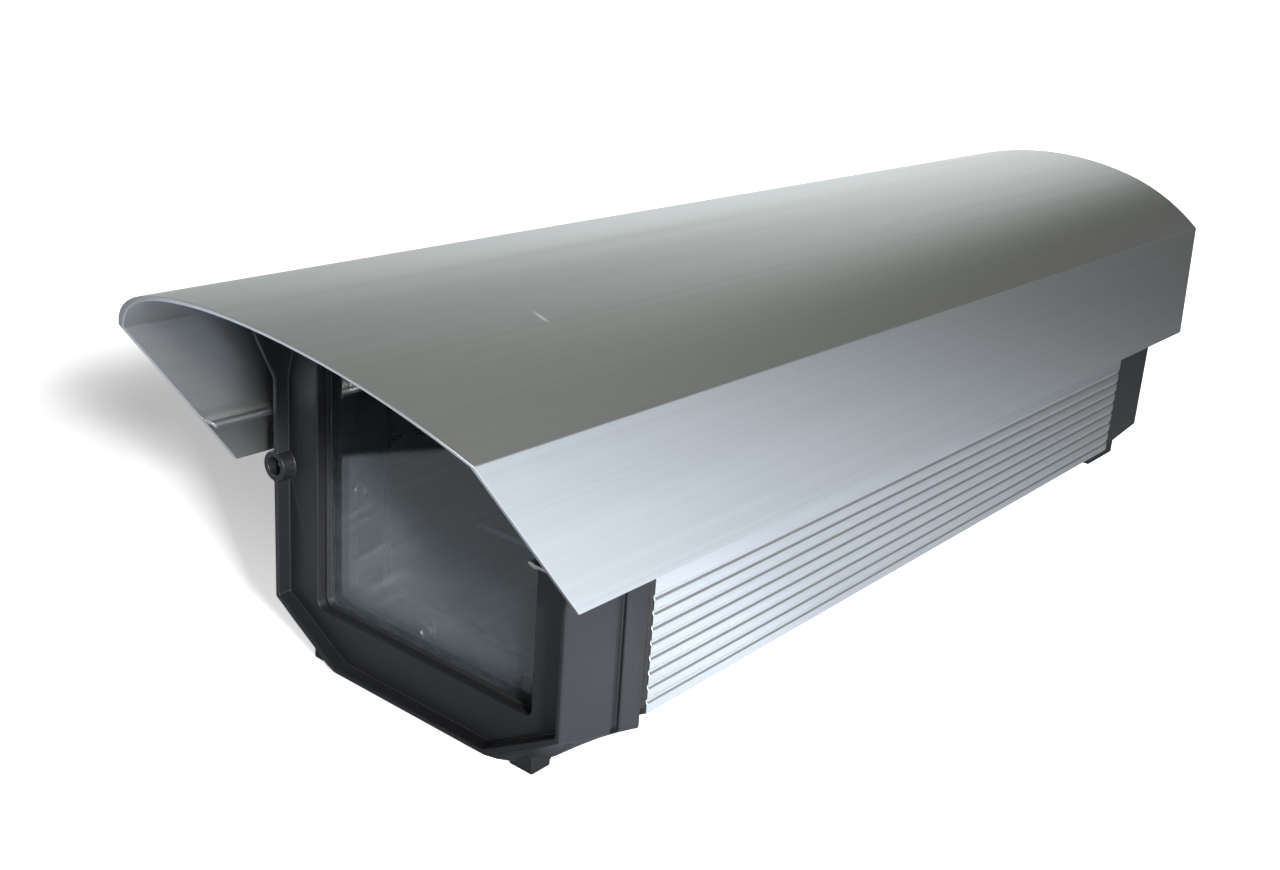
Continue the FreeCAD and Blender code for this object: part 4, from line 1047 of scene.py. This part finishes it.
@dataclass
class CableGlands:
    """Nylon cable glands: hexagon bodies, rubber rings and domed nuts."""

    flats_mm: float = 19.0
    grip_mm: float = 8.5
    nut_mm: float = 14.0
    nose_radius_mm: float = 9.2
    mouth_radius_mm: float = 5.6
    mouth_mm: float = 4.0
    bore_radius_mm: float = 7.6
    grip_edge_mm: float = 0.7
    overlap_mm: float = 1.0
    edge_mm: float = 0.3
    nut_edge_mm: float = 0.15
    corners: int = 56
    dome_steps: int = 6

    def build(self) -> None:
        """Builds the bodies, the rings, the nuts inside the wall and the domed nuts."""
        dressed_copy("cable_gland_bodies", "gland_bodies", GLAND_NYLON, self.edge_mm)
        dressed_copy("cable_gland_seals", "gland_rings", SEAL_RUBBER, self.edge_mm)
        dressed_copy("cable_gland_lock_nuts", "gland_lock_nuts", GLAND_NYLON, self.edge_mm)
        model = self.model_nut()
        for number, (low, high) in enumerate(solid_boxes("cable_gland_nuts"), 1):
            foot = (low + high) / 2
            foot.y = low.y
            nut = copy_to(model, f"gland_nut_{number}", foot, Vector((0, 1, 0)))
            dress(nut, GLAND_NYLON, "cable_gland_nuts")
        bpy.data.objects.remove(model)

    def model_nut(self) -> Piece:
        """Models a hexagon nut with a domed nose along +Z and a stepped bore.

        Returns:
            The nut, its open end at the origin.
        """
        corner = self.flats_mm / math.sqrt(3)
        nut = turned("gland_nut", chamfered(corner, 0.0, self.grip_mm, self.grip_edge_mm), 6)
        dome = self.nut_mm - self.grip_mm
        width = self.nose_radius_mm - self.mouth_radius_mm - self.edge_mm
        turns = [math.pi / 2 * step / self.dome_steps for step in range(self.dome_steps + 1)]
        profile = [(self.nose_radius_mm, self.grip_mm - self.overlap_mm)]
        profile += [(self.nose_radius_mm - width * (1 - math.cos(turn)),
                     self.grip_mm + dome * math.sin(turn)) for turn in turns]
        combine(nut, turned("nose", profile, self.corners), "UNION")
        shoulder = self.nut_mm - self.mouth_mm
        bore = [(self.bore_radius_mm, -self.overlap_mm), (self.bore_radius_mm, shoulder),
                (self.mouth_radius_mm, shoulder),
                (self.mouth_radius_mm, self.nut_mm + self.overlap_mm)]
        combine(nut, turned("bore", bore, self.corners), "DIFFERENCE")
        break_edges(nut, self.nut_edge_mm)
        return nut


@dataclass(frozen=True)
class Lobe:
    """Soft patch of light or dark on the room's walls, as mirrored rays see it."""

    azimuth_deg: float
    elevation_deg: float
    width_deg: float
    strength: float
    tint: str = "#ffffff"

    def add_to(self, tree: Tree, way: Socket, under: Socket) -> Socket:
        """Adds the patch to what the room shows so far.

        Args:
            tree: The world's node tree.
            way: Direction of the ray.
            under: Colour so far.

        Returns:
            Colour with the patch.
        """
        azimuth, elevation = math.radians(self.azimuth_deg), math.radians(self.elevation_deg)
        towards = (math.sin(azimuth) * math.cos(elevation), math.cos(azimuth) * math.cos(elevation),
                   math.sin(elevation))
        # The cosine falls with half the square of the angle, so the patch fades as a bell curve
        sharpness = 2 / math.radians(self.width_deg) ** 2
        cosine = add_node(tree, "ShaderNodeVectorMath", {"operation": "DOT_PRODUCT", 1: towards},
                          {0: way})
        falloff = add_node(tree, "ShaderNodeMath",
                           {"operation": "MULTIPLY_ADD", 1: sharpness, 2: -sharpness},
                           {0: cosine.outputs["Value"]})
        share = add_node(tree, "ShaderNodeMath", {"operation": "EXPONENT"},
                         {0: falloff.outputs["Value"]})
        colour = [c * abs(self.strength) for c in linear(self.tint)[:3]] + [1.0]
        blend = "ADD" if self.strength > 0 else "SUBTRACT"
        mixed = add_node(tree, "ShaderNodeMix",
                         {"data_type": "RGBA", "blend_type": blend, MIX_B: colour},
                         {MIX_FACTOR: share.outputs["Value"], MIX_A: under})
        return mixed.outputs[MIX_RESULT]


@dataclass(frozen=True)
class Step:
    """Soft step in a brightness on the floor.

    It rises along way, given as shares of X and Y, or outwards all round where way is None.
    """

    start_mm: float
    end_mm: float
    low: float = 0.0
    way: Span | None = None

    def add_to(self, tree: Tree, place: Socket) -> Socket:
        """Adds the step.

        Args:
            tree: The floor's node tree.
            place: Place on the floor.

        Returns:
            The brightness: lowest where the step starts, and 1 where it ends.
        """
        measure = {"operation": "LENGTH"}
        if self.way is not None:
            measure = {"operation": "DOT_PRODUCT", 1: (*self.way, 0.0)}
        distance = add_node(tree, "ShaderNodeVectorMath", measure, {0: place})
        return add_node(tree, "ShaderNodeMapRange",
                        {"From Min": self.start_mm * MM, "From Max": self.end_mm * MM,
                         "To Min": self.low, "interpolation_type": "SMOOTHSTEP"},
                        {"Value": distance.outputs["Value"]}).outputs["Result"]


@dataclass(frozen=True)
class StudioPaper(Finish):
    """Matt paper floor: white to the camera round the shadow, a pool of light to mirrors.

    The pool is painted light: brightest beside the window end, fading towards the rear, and
    painted darker close to the body's side as shade. In front of the window the paper ends
    along a slanting edge, and painted shades lie on it there.
    """

    name: str = "studio_paper"
    paper: str = "#f0f0f0"
    white: tuple[Step, ...] = (Step(290.0, 430.0, low=0.4),
                               Step(-62.0, 20.0, low=0.4, way=ALONG_Y),
                               Step(-100.0, -290.0, low=0.4, way=ALONG_Y))
    pool_tint: str = "#ebf4ff"
    pool_glow: float = 0.58
    pool_mm: Span = (740.0, -100.0)
    pool_fall: float = 2.3
    shades: tuple[Step, ...] = (Step(-224.0, -202.0, low=0.62, way=(-0.528, 1.0)),
                                Step(-215.0, -120.0, low=0.72, way=ALONG_Y),
                                Step(-212.0, -226.0, low=0.35, way=ALONG_Y))
    beside: Step = Step(30.0, 85.0, way=ALONG_X)
    paper_edge: Step = Step(-352.0, -342.0, way=(1.0, 0.583))
    # Painted shade: the pool is dimmer close to the body's right side, behind its window end
    painted_shade_near_body: tuple[Step, ...] = (Step(110.0, 175.0, low=0.77, way=ALONG_X),
                                   Step(-35.0, -90.0, low=0.77, way=ALONG_Y))
    far_left: Step = Step(-250.0, -700.0, low=0.01, way=ALONG_X)

    def pool(self, tree: Tree, place: Socket) -> Socket:
        """Adds the light on the paper that bright metal and glass mirror.

        Args:
            tree: The floor's node tree.
            place: Place on the floor.

        Returns:
            Brightness of the paper, 1 where it is brightest.
        """
        y = add_node(tree, "ShaderNodeSeparateXYZ", links={"Vector": place}).outputs["Y"]
        end, full = self.pool_mm
        rear = add_node(tree, "ShaderNodeMapRange", {"From Min": end * MM, "From Max": full * MM},
                        {"Value": y})
        fall = add_node(tree, "ShaderNodeMath", {"operation": "POWER", 1: self.pool_fall},
                        {0: rear.outputs["Result"]})
        shaded = fold(tree, "MULTIPLY", [step.add_to(tree, place) for step in self.shades])
        unshaded = fold(tree, "MAXIMUM", (shaded, self.beside.add_to(tree, place)))
        # Painted shade close to the body
        painted_shade_near_body = fold(tree, "MAXIMUM", [step.add_to(tree, place) for step in self.painted_shade_near_body])
        lit = fold(tree, "MULTIPLY", (fall.outputs["Value"], unshaded,
                                      self.paper_edge.add_to(tree, place), painted_shade_near_body))
        return fold(tree, "MAXIMUM", (lit, self.far_left.add_to(tree, place)))

    def paint(self, tree: Tree) -> Node:
        """Adds the pool, the white round the shadow and an underside that doesn't show.

        Args:
            tree: The material's node tree.

        Returns:
            The shader.
        """
        place = add_node(tree, "ShaderNodeTexCoord").outputs["Object"]
        path = add_node(tree, "ShaderNodeLightPath")
        mirrored = fold(tree, "MAXIMUM", (path.outputs["Is Glossy Ray"],
                                          path.outputs["Is Transmission Ray"]))
        pool = self.pool(tree, place)
        tinted = add_node(tree, "ShaderNodeMix", {"data_type": "RGBA", "blend_type": "MULTIPLY",
                                                  MIX_FACTOR: 1.0, MIX_A: linear(self.pool_tint)},
                          {MIX_B: pool})
        colour = add_node(tree, "ShaderNodeMix", {"data_type": "RGBA", MIX_A: linear(self.paper)},
                          {MIX_FACTOR: mirrored, MIX_B: tinted.outputs[MIX_RESULT]})
        tint = add_node(tree, "ShaderNodeMix", {"data_type": "RGBA", MIX_A: linear("#ffffff"),
                                                MIX_B: linear(self.pool_tint)},
                        {MIX_FACTOR: mirrored})
        white = fold(tree, "MAXIMUM", [step.add_to(tree, place) for step in self.white])
        seen = fold(tree, "MULTIPLY", (path.outputs["Is Camera Ray"], white))
        pool_light = add_node(tree, "ShaderNodeMath", {"operation": "MULTIPLY", 1: self.pool_glow},
                              {0: pool})
        glow = add_node(tree, "ShaderNodeMath", {"operation": "MULTIPLY_ADD"},
                        {0: mirrored, 1: pool_light.outputs["Value"], 2: seen})
        paper = add_node(tree, "ShaderNodeBsdfPrincipled",
                         {"Roughness": 0.9, "Specular IOR Level": 0.0},
                         {"Base Color": colour.outputs[MIX_RESULT],
                          "Emission Color": tint.outputs[MIX_RESULT],
                          "Emission Strength": glow.outputs["Value"]})
        under = add_node(tree, "ShaderNodeNewGeometry").outputs["Backfacing"]
        nothing = add_node(tree, "ShaderNodeBsdfTransparent")
        return add_node(tree, "ShaderNodeMixShader",
                        links={0: under, 1: paper.outputs["BSDF"], 2: nothing.outputs["BSDF"]})


@dataclass
class Studio:
    """White paper floor, pale room, one soft lamp and the camera at the photo's view."""

    floor_mm: float = -2.0
    floor_size_m: float = 30.0
    paper: Finish = StudioPaper()
    ceiling: str = "#828480"
    lobes: tuple[Lobe, ...] = (
        Lobe(azimuth_deg=-37.0, elevation_deg=-3.0, width_deg=19.0, strength=1.75, tint="#f5fdff"),
        Lobe(azimuth_deg=3.0, elevation_deg=15.0, width_deg=14.0, strength=-0.79),
        Lobe(azimuth_deg=-22.0, elevation_deg=18.0, width_deg=12.0, strength=0.63))
    fill: float = 0.3
    lamp_m: Place = (3.3, -1.65, 1.38)
    lamp_size_m: float = 0.5
    lamp_watts: float = 285.0
    aim_m: Place = (0.0, 0.0, 0.05)
    lens_mm: float = 41.772
    clip_m: float = 0.01
    shift: Span = (-0.06952, -0.02442)
    camera_mm: Place = (289.53, -455.59, 232.35)
    azimuth_deg: float = 35.433
    elevation_deg: float = 18.784
    roll_deg: float = 5.124

    def build(self) -> None:
        """Builds the floor, the room, the lamp and the camera."""
        self.lay_floor()
        self.paint_room()
        self.hang_lamp()
        self.set_camera()
        bpy.context.scene.view_settings.view_transform = "Standard"

    def lay_floor(self) -> None:
        """Lays the paper floor under the housing's feet."""
        deselect()
        bpy.ops.mesh.primitive_plane_add(size=self.floor_size_m, location=(0, 0, self.floor_mm * MM))
        floor = bpy.context.object
        floor.name = "studio_floor"
        floor.data.materials.append(self.paper.material())

    def paint_room(self) -> None:
        """Paints the room: white to the camera, and grey with its soft patches to mirrors."""
        world = bpy.data.worlds.new("studio_room")
        bpy.context.scene.world = world
        world.use_nodes = True
        tree = world.node_tree
        tree.nodes.clear()
        way = add_node(tree, "ShaderNodeTexCoord").outputs["Generated"]
        room = add_node(tree, "ShaderNodeRGB")
        room.outputs[0].default_value = linear(self.ceiling)
        shown = room.outputs[0]
        for lobe in self.lobes:
            shown = lobe.add_to(tree, way, shown)
        # Where dark patches go below black, the room is black
        lit = add_node(tree, "ShaderNodeVectorMath", {"operation": "MAXIMUM"}, {0: shown})
        path = add_node(tree, "ShaderNodeLightPath")
        seen = add_node(tree, "ShaderNodeMix", {"data_type": "RGBA", MIX_B: (1.0, 1.0, 1.0, 1.0)},
                        {MIX_FACTOR: path.outputs["Is Camera Ray"], MIX_A: lit.outputs["Vector"]})
        # The room's strength is 1 to the eye and in mirrors, and only fill on matt surfaces
        dimmed = add_node(tree, "ShaderNodeMath",
                          {"operation": "MULTIPLY_ADD", 1: self.fill - 1.0, 2: 1.0},
                          {0: path.outputs["Is Diffuse Ray"]})
        light = add_node(tree, "ShaderNodeBackground",
                         links={"Color": seen.outputs[MIX_RESULT],
                                "Strength": dimmed.outputs["Value"]})
        add_node(tree, "ShaderNodeOutputWorld", links={"Surface": light.outputs["Background"]})

    def hang_lamp(self) -> None:
        """Hangs the soft lamp that faces the housing."""
        deselect()
        bpy.ops.object.light_add(type="AREA", location=self.lamp_m)
        lamp = bpy.context.object
        lamp.name = "key_lamp"
        lamp.data.size = self.lamp_size_m
        lamp.data.energy = self.lamp_watts
        aim = Vector(self.aim_m) - Vector(self.lamp_m)
        lamp.rotation_euler = aim.to_track_quat("-Z", "Y").to_euler()

    def set_camera(self) -> None:
        """Sets the camera that the photo's perspective gives."""
        deselect()
        bpy.ops.object.camera_add()
        camera = bpy.context.object
        turn = (Matrix.Rotation(math.radians(self.azimuth_deg), 4, "Z")
                @ Matrix.Rotation(math.radians(90 - self.elevation_deg), 4, "X")
                @ Matrix.Rotation(math.radians(self.roll_deg), 4, "Z"))
        camera.matrix_world = Matrix.Translation(Vector(self.camera_mm) * MM) @ turn
        camera.data.lens = self.lens_mm
        camera.data.shift_x, camera.data.shift_y = self.shift
        camera.data.clip_start = self.clip_m
        bpy.context.scene.camera = camera


def main() -> None:
    """Builds the studio and every sub-assembly in order."""
    logging.basicConfig(level=logging.INFO, format="%(message)s")
    for assembly in (Studio(), Extrusions(), Sunshield(), EndCaps(), WindowGroup(), CoverEdges(),
                     CameraMount(), CableGlands()):
        assembly.build()
        LOG.info("built %s", type(assembly).__name__)


if __name__ == "__main__":
    main()
